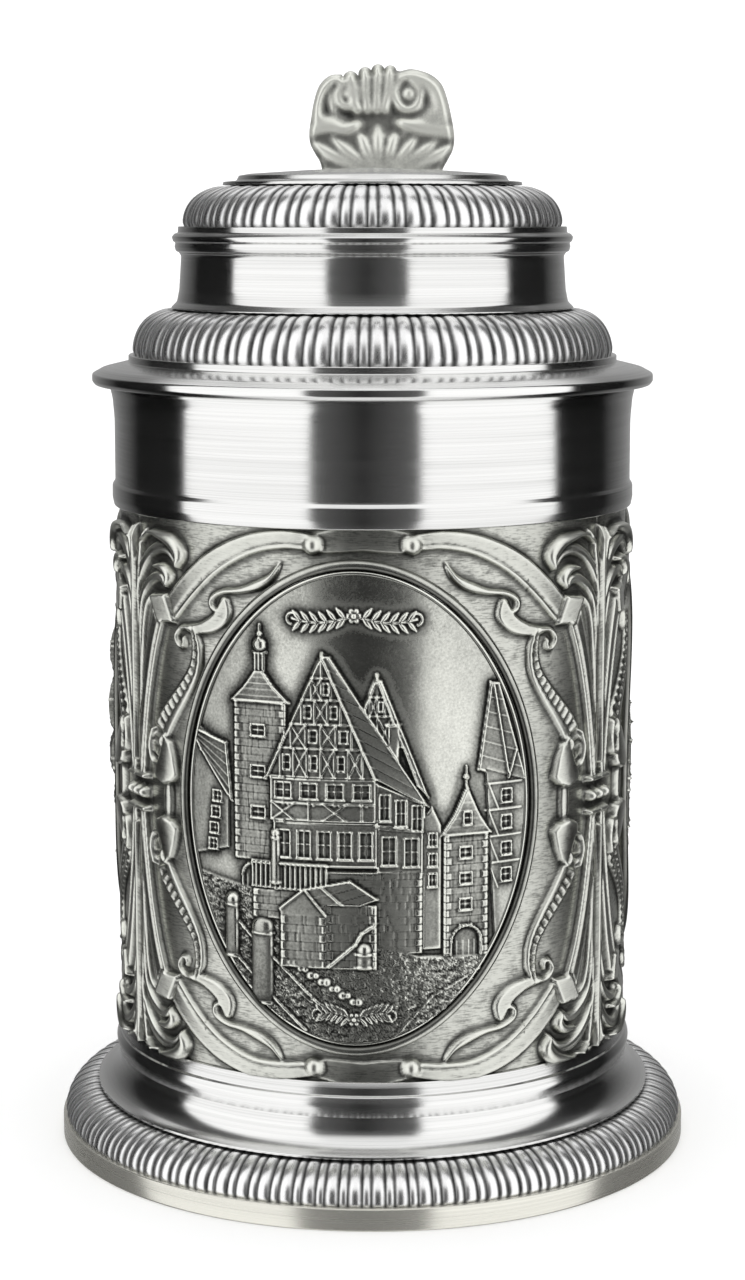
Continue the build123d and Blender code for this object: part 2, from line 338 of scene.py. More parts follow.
def gadroon_ring(node, pairs, base, apex, top, back, amplitude):
    """Ring of alternating broad and narrow lobes over a convex band from base to top."""
    per_pair, rows = 22, 22
    columns = pairs * per_pair
    phase = (np.arange(columns) % per_pair + 0.5) / per_pair
    broad_share = 0.60
    inside_broad = phase < broad_share
    local = np.where(inside_broad, phase / broad_share, (phase - broad_share) / (1 - broad_share)) * 2 - 1
    lobe = np.sqrt(np.clip(1 - local ** 2, 0, 1)) ** 0.8
    bulge = lobe * np.where(inside_broad, 1.0, 0.72)
    # Painted highlight along the middle of each lobe over its handling polish; the sides of the lobes are
    # painted darker.
    rubbed_and_painted_highlight = lobe ** 2.3 * np.where(inside_broad, 1.0, 0.86)
    base, apex, top = (np.array(p, dtype=float) for p in (base, apex, top))
    t = np.linspace(0, 1, rows)[:, None]
    spine = (1 - t) ** 2 * base + 2 * t * (1 - t) * apex + t ** 2 * top
    slope = np.gradient(spine, axis=0)
    normal = np.stack([slope[:, 1], -slope[:, 0]], axis=1)
    normal /= np.linalg.norm(normal, axis=1)[:, None]
    ends = np.clip(np.minimum(t[:, 0], 1 - t[:, 0]) / 0.13, 0, 1)
    ends = np.sqrt(np.clip(1 - (1 - ends) ** 2, 0, 1))
    ends = 0.35 + 0.65 * ends
    lift = amplitude * (np.outer(bulge, ends) - 1.0)
    r = spine[None, :, 0] + normal[None, :, 0] * lift
    z = spine[None, :, 1] + normal[None, :, 1] * lift
    back = np.array(back, dtype=float)
    r = np.concatenate([r, np.broadcast_to(back[:, 0], (columns, len(back)))], axis=1)
    z = np.concatenate([z, np.broadcast_to(back[:, 1], (columns, len(back)))], axis=1)
    # Darker towards the ends of the lobes where they meet the next ring, and darkest on the back: painted
    # shade.
    wear_and_painted_light = np.concatenate([np.outer(rubbed_and_painted_highlight, 0.45 + 0.55 * ends), np.zeros((columns, len(back)))], axis=1)
    theta = angles_round(columns)[:, None]
    vertices = np.stack([r * np.cos(theta), r * np.sin(theta), z], axis=-1).reshape(-1, 3)
    obj = new_object(node + "_look", vertices, grid_faces(columns, r.shape[1], True, True), sharp=60)
    add_attribute(obj, "wear_and_painted_light", wear_and_painted_light)
    return obj


for node, body, pairs, base, apex, top, back, height in (
        ("foot_gadroon_ring", "mug", 90, (52.6, FOOT_RIM_TOP), (52.6, 8.2), (47.0, FOOT_LOBES_TOP),
         [(44.6, FOOT_LOBES_TOP), (44.6, 7.6), (FOOT_BORE, FOOT_RIM_TOP)], 0.55),
        ("lid_lower_gadroon", "lid", 57, (39.7, FLANGE_TOP), (39.4, 138.6), (33.4, LOWER_LOBES_TOP),
         [(31.2, LOWER_LOBES_TOP), (31.2, 138.2), (SEAT_BORE, FLANGE_TOP)], 0.55),
        ("lid_upper_gadroon", "lid", 46, (31.3, 152.8), (31.2, 158.4), (CAP_R, CAP_EDGE),
         [(CAP_SEAT, CAP_EDGE), (CAP_SEAT, CAP_BOTTOM), (29.4, 152.8)], 0.5)):
    ring = gadroon_ring(node, pairs, base, apex, top, back, height)
    place(ring, node, body, gadroon)


# ---- relief drawn as height fields on the barrel ---------------------------------------------
PANEL_R = 42.4
MIDDLE_Z = 63.9
PLAQUE_TURN = math.radians(-1.7)
PANEL_TURNS = {"front": 0.0, "left": math.radians(-120), "right": math.radians(120)}


def soft_step(value):
    value = np.clip(value, 0, 1)
    return value * value * (3 - 2 * value)


def distance_from(S, Z, start, end):
    """Distance of cells from the straight line between two points."""
    (s0, z0), (s1, z1) = start, end
    ds, dz = s1 - s0, z1 - z0
    t = np.clip(((S - s0) * ds + (Z - z0) * dz) / (ds * ds + dz * dz), 0, 1)
    return np.hypot(S - s0 - t * ds, Z - z0 - t * dz)


class Relief:
    """Heights in millimetres over a grid of arc length s and height z on the barrel."""

    def __init__(self, s, z):
        self.s, self.z = s, z
        self.h = np.zeros((len(s), len(z)))

    def window(self, s_low, s_high, z_low, z_high):
        """Index ranges of the cells inside a box, and their coordinates."""
        i0, i1 = np.searchsorted(self.s, [s_low, s_high])
        j0, j1 = np.searchsorted(self.z, [z_low, z_high])
        return (slice(i0, i1), slice(j0, j1)), self.s[i0:i1, None], self.z[None, j0:j1]

    def nearest(self, path):
        """For cells near a path: place across it, from -1 to 1, distance inside its edge, distance along."""
        across = np.full(self.h.shape, 9.0)
        edge = np.full(self.h.shape, -9.0)
        along = np.zeros(self.h.shape)
        travelled = 0.0
        for k, (s, z, w) in enumerate(path):
            a, b = path[max(k - 1, 0)], path[min(k + 1, len(path) - 1)]
            direction = b[:2] - a[:2]
            direction = direction / (np.linalg.norm(direction) + 1e-9)
            if k:
                travelled += np.linalg.norm(path[k][:2] - path[k - 1][:2])
            reach = w + 0.2
            box, S, Z = self.window(s - reach, s + reach, z - reach, z + reach)
            distance = np.hypot(S - s, Z - z)
            side = np.where((S - s) * direction[1] - (Z - z) * direction[0] < 0, -1.0, 1.0)
            closer = w - distance > edge[box]
            edge[box] = np.where(closer, w - distance, edge[box])
            across[box] = np.where(closer, side * distance / w, across[box])
            along[box] = np.where(closer, travelled, along[box])
        return across, edge, along

    def stroke(self, points, height, profile, flip=1):
        """Raises the cells under a smooth path of (s, z, half-width) points."""
        across, edge, along = self.nearest(smooth_path(points, 0.12))
        rise = height * profile(np.clip(across, -1, 1) * flip, edge, along) * soft_step((edge + 0.16) / 0.42)
        self.h = np.where(edge > -0.16, np.maximum(self.h, rise), self.h)

    def ball(self, s, z, radius, height):
        box, S, Z = self.window(s - radius, s + radius, z - radius, z + radius)
        dome = height * np.sqrt(np.clip(1 - ((S - s) ** 2 + (Z - z) ** 2) / radius ** 2, 0, 1))
        self.h[box] = np.maximum(self.h[box], dome)

    def inside(self, corners, margin=0.3):
        """Cells around a polygon, their coordinates, and their distance inside its edge."""
        p = np.array(corners, dtype=float)
        low, high = p.min(axis=0) - margin, p.max(axis=0) + margin
        box, S, Z = self.window(low[0], high[0], low[1], high[1])
        within = np.zeros(np.broadcast(S, Z).shape, dtype=bool)
        nearest = np.full(within.shape, 9.0)
        for (s0, z0), (s1, z1) in zip(p, np.roll(p, -1, axis=0)):
            nearest = np.minimum(nearest, distance_from(S, Z, (s0, z0), (s1, z1)))
            if z0 != z1:
                crosses = (Z > min(z0, z1)) & (Z <= max(z0, z1))
                within ^= crosses & (S < s0 + (Z - z0) * (s1 - s0) / (z1 - z0))
        return box, S, Z, np.where(within, nearest, -nearest)

    def plate(self, corners, level, soft=0.22):
        """Sets the cells inside a polygon to a level, a number or a function of (s, z)."""
        box, S, Z, distance = self.inside(corners)
        share = soft_step(distance / soft + 0.5)
        level = level(S, Z) if callable(level) else level
        self.h[box] += (level - self.h[box]) * share

    def line(self, points, half_width=0.24, rise=0.22):
        """Adds a raised line on top of what is there. A negative rise makes a groove."""
        for (s0, z0), (s1, z1) in zip(points[:-1], points[1:]):
            reach = half_width + 0.1
            box, S, Z = self.window(min(s0, s1) - reach, max(s0, s1) + reach,
                                    min(z0, z1) - reach, max(z0, z1) + reach)
            distance = distance_from(S, Z, (s0, z0), (s1, z1)) / (half_width * 1.5)
            self.h[box] += rise * np.cos(0.5 * math.pi * np.clip(distance, 0, 1)) ** 2


def smooth_path(points, step):
    """Catmull-Rom curve through (s, z, half-width) points, with samples about step apart."""
    p = np.array(points, dtype=float)
    p = np.vstack([2 * p[0] - p[1], p, 2 * p[-1] - p[-2]])
    result = []
    for a, b, c, d in zip(p[:-3], p[1:-2], p[2:-1], p[3:]):
        count = max(2, int(np.linalg.norm(c[:2] - b[:2]) / step))
        t = np.arange(count)[:, None] / count
        result.append(0.5 * (2 * b + (c - a) * t + (2 * a - 5 * b + 4 * c - d) * t ** 2
                             + (3 * b - a - 3 * c + d) * t ** 3))
    result.append(p[-2][None, :])
    path = np.vstack(result)
    path[:, 2] = np.maximum(path[:, 2], 0.05)
    return path


def round_bar(u, edge, along):
    return 0.35 + 0.65 * np.sqrt(np.clip(1 - u ** 2, 0, 1))


def soft_bar(u, edge, along):
    """Full and round, low at its edges."""
    return 0.5 + 0.5 * np.clip(1 - u ** 2, 0, 1)


def leaf_bar(u, edge, along):
    """Rounded, with a groove along the middle."""
    return round_bar(u, edge, along) - 0.24 * np.exp(-(u / 0.28) ** 2)


def strap(u, edge, along):
    """Flat band with a fine groove and a bevelled rim beside the medallion, where u is 1."""
    from_rim = edge * (1 + np.minimum(u, 0) * -4)
    groove = 0.34 * np.exp(-((from_rim - 0.78) / 0.25) ** 2)
    lip = 0.16 * np.exp(-((edge - 0.15) / 0.25) ** 2) * (u < 0)
    return 0.80 + 0.16 * np.exp(-((from_rim - 0.25) / 0.25) ** 2) * (u > 0) - groove * (u > 0) + lip


def flat_ribbon(u, edge, along):
    return 0.78 + 0.22 * u ** 2


def ladder(u, edge, along):
    """Band with a plain side where u is 1, and cross bars on the rest."""
    bars = 0.34 * np.clip(np.cos(along * TURN / 1.5) * 1.6, -0.2, 1)
    hollow = 0.46 + bars
    rim = np.exp(-((edge - 0.1) / 0.24) ** 2)
    return np.where(u > 0.22, 0.92, np.maximum(hollow, rim))


def blur(field, cells):
    """Three passes of a box filter, each as wide as given by cells along the two axes."""
    for _ in range(3):
        for axis, cell_count in enumerate(cells):
            half = max(1, int(round(cell_count)))
            padded = np.pad(field, [(half + 1, half) if k == axis else (0, 0) for k in (0, 1)], mode="edge")
            total = np.cumsum(padded, axis=axis)
            high = np.take(total, np.arange(2 * half + 1, total.shape[axis]), axis=axis)
            low = np.take(total, np.arange(0, total.shape[axis] - 2 * half - 1), axis=axis)
            field = (high - low) / (2 * half + 1)
    return field


def smooth(field):
    """Weights one, two, one over neighbours, along both axes."""
    for axis in (0, 1):
        ends = np.concatenate([np.take(field, [0], axis), field, np.take(field, [-1], axis)], axis=axis)
        count = field.shape[axis]
        before, after = np.take(ends, np.arange(count), axis), np.take(ends, np.arange(2, count + 2), axis)
        field = (before + 2 * field + after) / 4
    return field


def wear_and_painted_light_of(relief, base, fine_gain, broad_gain, reach=0.35):
    """Bright where the relief stands above its surroundings and dark where it lies below: painted highlight
    and painted shade, with the polish and tarnish of old pewter.
    """
    cells = 1 / np.array([np.median(np.diff(relief.s)), np.median(np.diff(relief.z))])
    fine = relief.h - blur(relief.h, reach * cells)
    broad = relief.h - blur(relief.h, 1.3 * cells)
    return np.clip(base + fine_gain * fine + broad_gain * broad, 0, 1)


def relief_object(name, relief, base_radius, turn, keep, wear_and_painted_light):
    """Wraps a height field on the barrel. Keeps the cells whose mask is true, and adds a skirt."""
    phi = relief.s / PANEL_R + turn
    radius = base_radius + relief.h
    x = radius * np.sin(phi)[:, None]
    y = -radius * np.cos(phi)[:, None]
    z = np.broadcast_to(relief.z[None, :], x.shape)
    vertices = np.stack([x, y, z], axis=-1).reshape(-1, 3)
    faces = grid_faces(x.shape[0], x.shape[1], False, False)[:, ::-1]
    faces = faces[keep[:-1, :-1].ravel()]
    used, faces = np.unique(faces, return_inverse=True)
    faces = faces.reshape(-1, 4)
    vertices, wear_and_painted_light = vertices[used], wear_and_painted_light.ravel()[used]
    edges = np.concatenate([faces[:, [k, (k + 1) % 4]] for k in range(4)])
    keys = np.sort(edges, axis=1)
    _, first, counts = np.unique(keys, axis=0, return_index=True, return_counts=True)
    rim = edges[first[counts == 1]]
    ring, lower = np.unique(rim, return_inverse=True)
    inward = vertices[ring] * np.array([1, 1, 0])
    inward /= np.linalg.norm(inward, axis=1)[:, None]
    depth = np.linalg.norm(vertices[ring][:, :2], axis=1) - (base_radius - 0.8)
    skirt = vertices[ring] - inward * depth[:, None]
    lower = lower.reshape(rim.shape) + len(vertices)
    walls = np.stack([rim[:, 1], rim[:, 0], lower[:, 0], lower[:, 1]], axis=1)
    obj = new_object(name, np.vstack([vertices, skirt]), np.vstack([faces, walls]))
    # The skirt gets the darkest value: painted shade where the relief sinks into the barrel.
    add_attribute(obj, "wear_and_painted_light", np.concatenate([wear_and_painted_light, np.zeros(len(skirt))]))
    return obj


# ---- scrollwork of the panels ----------------------------------------------------------------
def draw_scrollwork(relief):
    """Strapwork, ribbons and fronds of one half panel, above and below its middle."""
    for side in (1, -1):
        drop, low = (0.0, 0.0) if side > 0 else (2.6, 1.0)

        def at(points, shift=drop):
            return [(s, MIDDLE_Z + side * (h + shift), *width) for s, h, *width in points]

        def strokes(*rows, shift=drop):
            for height, profile, points in rows:
                relief.stroke(at(points, shift), height, profile, side)

        # Strap that arches from the ball to the mitred block, and on down to the binding.
        strokes(
            (0.45, flat_ribbon, [(-2, 42.4, 2.0), (0, 42.3, 2.0), (3.5, 41.9, 1.9), (7.5, 41.4, 1.6)]),
            (0.95, strap, [(8.5, 41.6, 1.3), (13, 41.8 + 0.4 * low, 1.4), (18.5, 40.7 + 1.4 * low, 1.6),
                           (24.5, 37.8 + 2.2 * low, 1.85), (29.6, 33.8 + 2.7 * low, 2.0),
                           (34.0, 29.6 + 2.7 * low, 2.05)]),
            shift=0)
        relief.ball(7.7, MIDDLE_Z + side * 41.2, 1.62, 1.6)
        strokes((1.25, strap, [(37.0, 29.0, 1.8), (39.2, 23.0, 1.6), (40.9, 16.0, 1.35), (42.0, 9.0, 1.1),
                               (42.7, 2.0, 0.85)]))
        block = at([(35.0, 31.8), (39.0, 31.3), (37.1, 27.2), (33.0, 27.4)])
        relief.plate(block, lambda s, z: 1.05 + 0.13 * (s - 34.0))
        for a, b, rise in ((0, 1, 0.28), (2, 3, 0.28), (0, 3, -0.4), (1, 2, -0.4)):
            relief.line([block[a], block[b]], 0.2, rise)

        # Tendril, volute and ribbon beside the medallion, with the cuff round the ribbon.
        strokes(
            (1.0, round_bar, [(12.9, 38.2, 0.1), (14.4, 36.0, 0.55), (16.6, 34.6, 0.8), (19.8, 33.6, 0.55),
                              (22.8, 33.2, 0.48), (24.9, 32.1, 0.5), (25.0, 30.7, 0.5), (23.9, 30.2, 0.42),
                              (23.3, 31.2, 0.32)]),
            (0.95, flat_ribbon, [(22.6, 31.6, 0.8), (22.9, 29.7, 1.4), (24.6, 28.1, 1.3), (27.2, 27.1, 0.95),
                                 (30.0, 26.8, 0.6)]),
            (1.1, round_bar, [(29.4, 27.0, 0.45), (31.6, 26.7, 0.5), (32.7, 25.3, 0.5), (31.9, 23.9, 0.45),
                              (30.8, 24.2, 0.4), (31.1, 25.2, 0.3)]),
            (0.95, ladder, [(28.9, 26.6, 0.75), (28.2, 23.6, 1.1), (28.8, 20.2, 1.25), (31.0, 16.8, 1.5),
                            (33.9, 13.4, 1.8), (36.4, 10.2, 2.1), (37.4, 7.2, 2.1)]),
            (1.45, round_bar, [(38.9, 9.6, 0.42), (39.7, 7.0, 0.5), (38.9, 4.6, 0.5), (37.2, 4.3, 0.5),
                               (36.1, 6.0, 0.48), (36.6, 8.0, 0.46), (35.7, 9.0, 0.42), (35.2, 8.0, 0.32)]),
            (1.1, round_bar, [(35.0, 1.6, 0.9), (35.2, 0.0, 1.15), (35.2, -1.3, 1.2)]))
        cuff = at([(35.9, 8.9), (34.3, 8.2), (33.2, 6.0), (32.2, 3.0), (33.3, 1.8), (35.4, 1.3), (37.6, 2.0),
                   (38.2, 3.2), (37.0, 5.6)])
        relief.plate(cuff, lambda s, z: 1.00 + 0.13 * np.abs(side * (z - MIDDLE_Z) - drop - 8.9)
                     - 0.045 * (s - 35.2) ** 2, 0.35)

        # Fronds that spring from the column and curl over the strap.
        strokes(
            (1.25, leaf_bar, [(43.4, 3.0, 0.4), (43.5, 12.0, 0.5), (43.8, 22.0, 0.6), (43.6, 30.5, 0.7),
                              (42.6, 34.4, 0.8), (40.0, 37.5, 1.0), (36.8, 39.0, 1.1), (34.0, 38.7, 1.05),
                              (32.2, 37.0, 0.8)]),
            (1.9, round_bar, [(41.8, 39.8, 0.3), (39.0, 41.2, 0.45), (36.0, 41.0, 0.85), (33.2, 40.2, 1.25),
                              (31.5, 38.4, 1.2), (31.8, 36.2, 0.3)]),
            (1.2, leaf_bar, [(42.9, 5.0, 0.3), (43.0, 14.0, 0.45), (43.2, 22.0, 0.55), (42.9, 27.8, 0.6),
                             (41.8, 31.4, 0.75), (39.0, 33.8, 0.9), (36.5, 34.3, 0.85), (35.2, 33.2, 0.55)]),
            (1.7, round_bar, [(37.8, 36.0, 0.35), (35.4, 35.9, 0.85), (34.1, 34.6, 1.0), (34.7, 33.0, 0.3)]),
            (0.9, round_bar, [(42.6, 11.0, 0.1), (42.6, 19.0, 0.4), (42.2, 25.5, 0.5), (41.2, 29.2, 0.5),
                              (40.0, 30.8, 0.3)]),
            (1.45, leaf_bar, [(43.4, 26.0, 0.3), (43.3, 34.0, 0.6), (42.5, 38.0, 0.7), (41.6, 41.4, 0.15)]),
            (1.75, round_bar, [(44.4, 4.0, 0.5), (44.4, 18.0, 0.6), (44.4, 30.0, 0.8), (44.4, 36.0, 0.95),
                               (44.4, 42.0, 0.15)]))

    # Binding with beads where the stems of the column meet.
    centre = MIDDLE_Z - 1.3
    for z in (centre - 2.7, centre + 2.7):
        relief.stroke([(s, z, 0.55) for s in (41.6, 44.4, 46.0)], 1.6, round_bar)
    for s in (42.2, 44.4):
        relief.ball(s, centre, 1.1, 1.95)


def make_panels(material):
    edge = PANEL_R * math.pi / 3
    z = np.linspace(COVE_TOP, BAND_BOTTOM, 430)
    half = Relief(np.concatenate([np.arange(0, 8, 0.36), np.arange(8, 27, 0.26),
                                  np.linspace(27, edge, 92)]), z)
    draw_scrollwork(half)
    full = Relief(np.concatenate([-half.s[:0:-1], half.s]), z)
    full.h = smooth(np.concatenate([half.h[:0:-1], half.h]))
    # Painted highlight on the raised scrollwork and painted shade in its hollows, with polish and tarnish.
    wear_and_painted_light = wear_and_painted_light_of(full, 0.52, 1.5, 0.32)
    opening_half_width, opening_half_height = 27.3, 38.2
    s = (full.s[:, None] - PLAQUE_TURN * PANEL_R) / (PANEL_R * math.asin(opening_half_width / PANEL_R))
    oval = np.hypot(s, (full.z[None, :] - MIDDLE_Z) / opening_half_height)
    for panel, turn in PANEL_TURNS.items():
        rear = {"front": 0, "left": -1, "right": 1}[panel] * edge
        # The sheet lies flat under the handle's plate.
        under_plate = np.hypot((full.s[:, None] - rear) / 8.0, (full.z[None, :] - 43.0) / 10.5) < 1
        mine = Relief(full.s, z)
        mine.h = np.where(under_plate & (rear != 0), 0.05, full.h)
        obj = relief_object("relief_" + panel, mine, 42.05, turn, oval > 1.0, wear_and_painted_light)
        place(obj, "relief_panel_" + panel, "mug", material)


# ---- townscapes of the medallions --------------------------------------------------------------
def box_corners(s0, s1, z0, z1):
    return [(s0, z0), (s1, z0), (s1, z1), (s0, z1)]


def window(r, s, z, width, height, level, bars=1, sill=True):
    """Framed window, sunk in the wall, with glazing bars."""
    s0, s1, z0, z1 = s - width / 2, s + width / 2, z - height / 2, z + height / 2
    r.plate(box_corners(s0, s1, z0, z1), level - 0.2, 0.18)
    r.line(box_corners(s0, s1, z0, z1) + [(s0, z0)], 0.17, 0.26)
    for k in range(bars):
        x = s0 + width * (k + 1) / (bars + 1)
        r.line([(x, z0), (x, z1)], 0.12, 0.16)
    if height > 1.5:
        r.line([(s0, z), (s1, z)], 0.12, 0.16)
    if sill:
        r.line([(s0 - 0.2, z0 - 0.15), (s1 + 0.2, z0 - 0.15)], 0.2, 0.2)


def crossed(r, s0, s1, z0, z1):
    r.line([(s0, z0), (s1, z1)], 0.17, 0.2)
    r.line([(s0, z1), (s1, z0)], 0.17, 0.2)


def timber_gable(r, s0, s1, eave, apex, level, lean=0.0, rows=(0.30, 0.58, 0.80)):
    """Half-timbered gable: beams at shares of its height, studs, windows and braces between them."""
    middle = (s0 + s1) / 2 + lean
    r.plate([(s0, eave), (s1, eave), (middle, apex)], level)

    def ends(share):
        return s0 + (middle - s0) * share, s1 + (middle - s1) * share, eave + (apex - eave) * share

    shares = [0.0] + list(rows)
    for k, share in enumerate(shares):
        a, b, z = ends(share)
        r.line([(a, z), (b, z)], 0.2, 0.24)
        top = shares[k + 1] if k + 1 < len(shares) else 0.97
        c, d, zt = ends(top)
        if top > 0.9:
            r.line([(middle, z), (middle, zt)], 0.17, 0.2)
            continue
        inner_a, inner_b = max(a, c), min(b, d)
        bays = max(2, int(round((inner_b - inner_a) / 2.1)))
        step = (inner_b - inner_a) / bays
        for n in range(bays + 1):
            x = inner_a + n * step
            r.line([(x, z), (x, zt)], 0.17, 0.22)
        for n in range(bays):
            x = inner_a + (n + 0.5) * step
            if (k + n) % 2 == 0:
                window(r, x, (z + zt) / 2, step * 0.5, (zt - z) * 0.5, level, 0, False)
            else:
                crossed(r, x - step / 2, x + step / 2, z, zt)
        r.line([(a, z), (inner_a, zt)], 0.17, 0.2)
        r.line([(b, z), (inner_b, zt)], 0.17, 0.2)
    verge = [(s0 - 0.4, eave - 0.5), (middle, apex + 0.3), (s1 + 0.4, eave - 0.5)]
    r.line(verge, 0.34, 0.42)


def storey(r, s0, s1, z0, z1, level, windows, braces, skew=0.0):
    """Wall between two beams. Its top falls by skew towards the right."""
    r.plate([(s0, z0), (s1, z0 - skew * 0.3), (s1, z1 - skew), (s0, z1)], level)
    split = z0 + (z1 - z0) * (0.42 if braces else 0.0)
    for a, b, k in ((z0, z0, 0.3), (z1, z1, 1.0), (split, split, 0.6)):
        r.line([(s0, a), (s1, b - skew * k)], 0.22, 0.28)
    for x in (s0, s1):
        fall = skew if x == s1 else 0.0
        r.line([(x, z0 - fall * 0.3), (x, z1 - fall)], 0.2, 0.26)
    step = (s1 - s0) / windows
    for n in range(windows):
        x = s0 + (n + 0.5) * step
        fall = skew * (n + 0.5) / windows
        window(r, x, (split + z1) / 2 - fall * 0.8, step * 0.62, (z1 - split) * 0.62, level)
        if braces and n % 2 == 0:
            crossed(r, x - step * 0.45, x + step * 0.45, z0 - fall * 0.4, split - fall * 0.5)
        elif braces:
            r.line([(x, z0 - fall * 0.4), (x, split - fall * 0.5)], 0.17, 0.2)


def masonry(r, s0, s1, z0, z1, level, rows, seed):
    """Wall of rough courses with dressed stones at its corners."""
    r.plate(box_corners(s0, s1, z0, z1), level)
    stones = np.random.default_rng(seed)
    height = (z1 - z0) / rows
    for k in range(rows):
        z = z0 + k * height
        r.line([(s0, z), (s1, z)], 0.12, -0.05)
        width = 1.0 if k % 2 else 0.65
        for a, b in ((s0, s0 + width), (s1 - width, s1)):
            r.plate(box_corners(a, b, z + 0.12, z + height - 0.12), level + 0.16, 0.2)
        for _ in range(int((s1 - s0) / 1.6)):
            x = stones.uniform(s0 + 1.1, s1 - 1.1)
            r.line([(x, z), (x, z + height)], 0.12, -0.05)


def pyramid_roof(r, s0, s1, eave, apex, level, finial=2.0, flare=0.5):
    """Steep hipped roof with flared eaves, tiles and a finial."""
    middle = (s0 + s1) / 2
    half = (s1 - s0) / 2
    outline = [(s0 - flare, eave), (s1 + flare, eave), (middle + half * 0.55, eave + (apex - eave) * 0.42),
               (middle, apex), (middle - half * 0.55, eave + (apex - eave) * 0.42)]
    r.plate(outline, lambda s, z: level + 0.24 - 0.3 * np.abs(s - middle) / (half + flare))
    r.line(outline[:2], 0.26, 0.3)
    r.line(outline[1:] + outline[:1], 0.2, 0.24)
    for k in range(1, 5):
        z = eave + (apex - eave) * k / 6
        width = (half + flare) * (1 - k / 5.2)
        r.line([(middle - width, z), (middle + width, z)], 0.12, 0.07)
    r.line([(middle, apex - 0.3), (middle, apex + finial)], 0.2, 0.5)
    r.ball(middle, apex + finial * 0.45, 0.5, level + 0.3)


def onion_top(r, s, z, level):
    """Lantern, bulb and spike above a tower roof."""
    r.plate(box_corners(s - 0.85, s + 0.85, z - 0.6, z + 2.2), level)
    for x in (s - 0.75, s, s + 0.75):
        r.line([(x, z - 0.4), (x, z + 2.1)], 0.16, 0.24)
    r.line([(s - 1.1, z + 2.3), (s + 1.1, z + 2.3)], 0.26, 0.4)
    r.ball(s, z + 3.5, 1.15, level + 0.5)
    r.line([(s, z + 4.5), (s, z + 6.6)], 0.22, 0.6)
    r.ball(s, z + 5.2, 0.45, level + 0.35)


def tower(r, s0, s1, z0, z1, level, windows, seed):
    masonry(r, s0, s1, z0, z1, level, max(4, int((z1 - z0) / 1.15)), seed)
    for k in range(windows):
        z = z1 - (z1 - z0) * (k + 0.7) / (windows + 0.9)
        window(r, (s0 + s1) / 2 - 0.2, z, (s1 - s0) * 0.27, 1.7, level)


def archway(r, s, z0, half, height, level):
    """Round-arched doorway with a moulded edge and planks."""
    angles = np.linspace(0, math.pi, 13)
    arch = [(s + half * math.cos(a), z0 + height - half + half * math.sin(a)) for a in angles]
    r.plate([(s - half, z0), (s + half, z0)] + arch, level - 0.3)
    r.line([(s + half, z0)] + arch + [(s - half, z0)], 0.24, 0.38)
    for k in range(1, 5):
        x = s - half + 2 * half * k / 5
        r.line([(x, z0), (x, z0 + height - half)], 0.12, 0.1)


def roof_slope(r, corners, level, rows):
    """Tiled slope between two long edges: corners are (top left, top right, bottom right, bottom left)."""
    r.plate(corners, level)
    (a0, a1), (b0, b1), (c0, c1), (d0, d1) = corners
    for k in range(1, rows):
        t = k / rows
        left, right = (a0 + (d0 - a0) * t, a1 + (d1 - a1) * t), (b0 + (c0 - b0) * t, b1 + (c1 - b1) * t)
        r.line([left, right], 0.13, 0.09)
    r.line(list(corners) + [corners[0]], 0.22, 0.26)


def bollard(r, s, z0, z1, half, level):
    """Round post with a domed cap."""
    r.plate(box_corners(s - half, s + half, z0, z1),
            lambda a, b: level * (0.45 + 0.55 * np.sqrt(np.clip(1 - ((a - s) / half) ** 2, 0, 1))))
    r.line([(s - half, z1 - 0.9), (s + half, z1 - 0.9)], 0.3, 0.3)
    r.line([(s - half, z0 + 0.4), (s + half, z0 + 0.4)], 0.3, 0.2)
    r.ball(s, z1 - 0.2, half * 1.12, level * 1.25)


def rail(r, s0, s1, z0, z1, level, bars):
    r.plate(box_corners(s0, s1, z0, z1), level - 0.25)
    for k in range(bars + 1):
        x = s0 + (s1 - s0) * k / bars
        r.line([(x, z0), (x, z1)], 0.17, 0.34)
    r.line([(s0, z1), (s1, z1)], 0.3, 0.5)
    r.line([(s0, z0), (s1, z0)], 0.24, 0.36)


def cobbled_ground(r, edge, level, seed):
    """Ground that rises towards the viewer, paved with small uneven stones."""
    low = MIDDLE_Z - 38
    points = [(-28, low), (28, low)] + edge
    r.plate(points, lambda s, z: level + 0.018 * (MIDDLE_Z - 22 - z), 0.5)
    stones = np.random.default_rng(seed)
    box, S, Z, distance = r.inside(points)
    grain = stones.normal(size=distance.shape)
    grain = 0.05 * grain + 0.28 * blur(grain, (2, 1))
    r.h[box] += grain * (distance > 0.3)


def tree(r, s, z, crowns, seed):
    """Leafy crowns, each (offset, height, radius, level), above a trunk."""
    low = min(z + height for _, height, _, _ in crowns)
    r.plate([(s - 0.9, z - 6), (s + 0.9, z - 6), (s + 0.5, low), (s - 0.5, low)], 0.7)
    leaves = np.random.default_rng(seed)
    for offset, height, radius, level in crowns:
        r.ball(s + offset, z + height, radius, level)
        for _ in range(int(7 * radius)):
            turn, far = leaves.uniform(0, TURN), radius * math.sqrt(leaves.uniform(0, 0.85))
            dome = level * math.sqrt(1 - (far / radius) ** 2)
            r.ball(s + offset + far * math.cos(turn), z + height + far * math.sin(turn), 0.75, dome + 0.16)


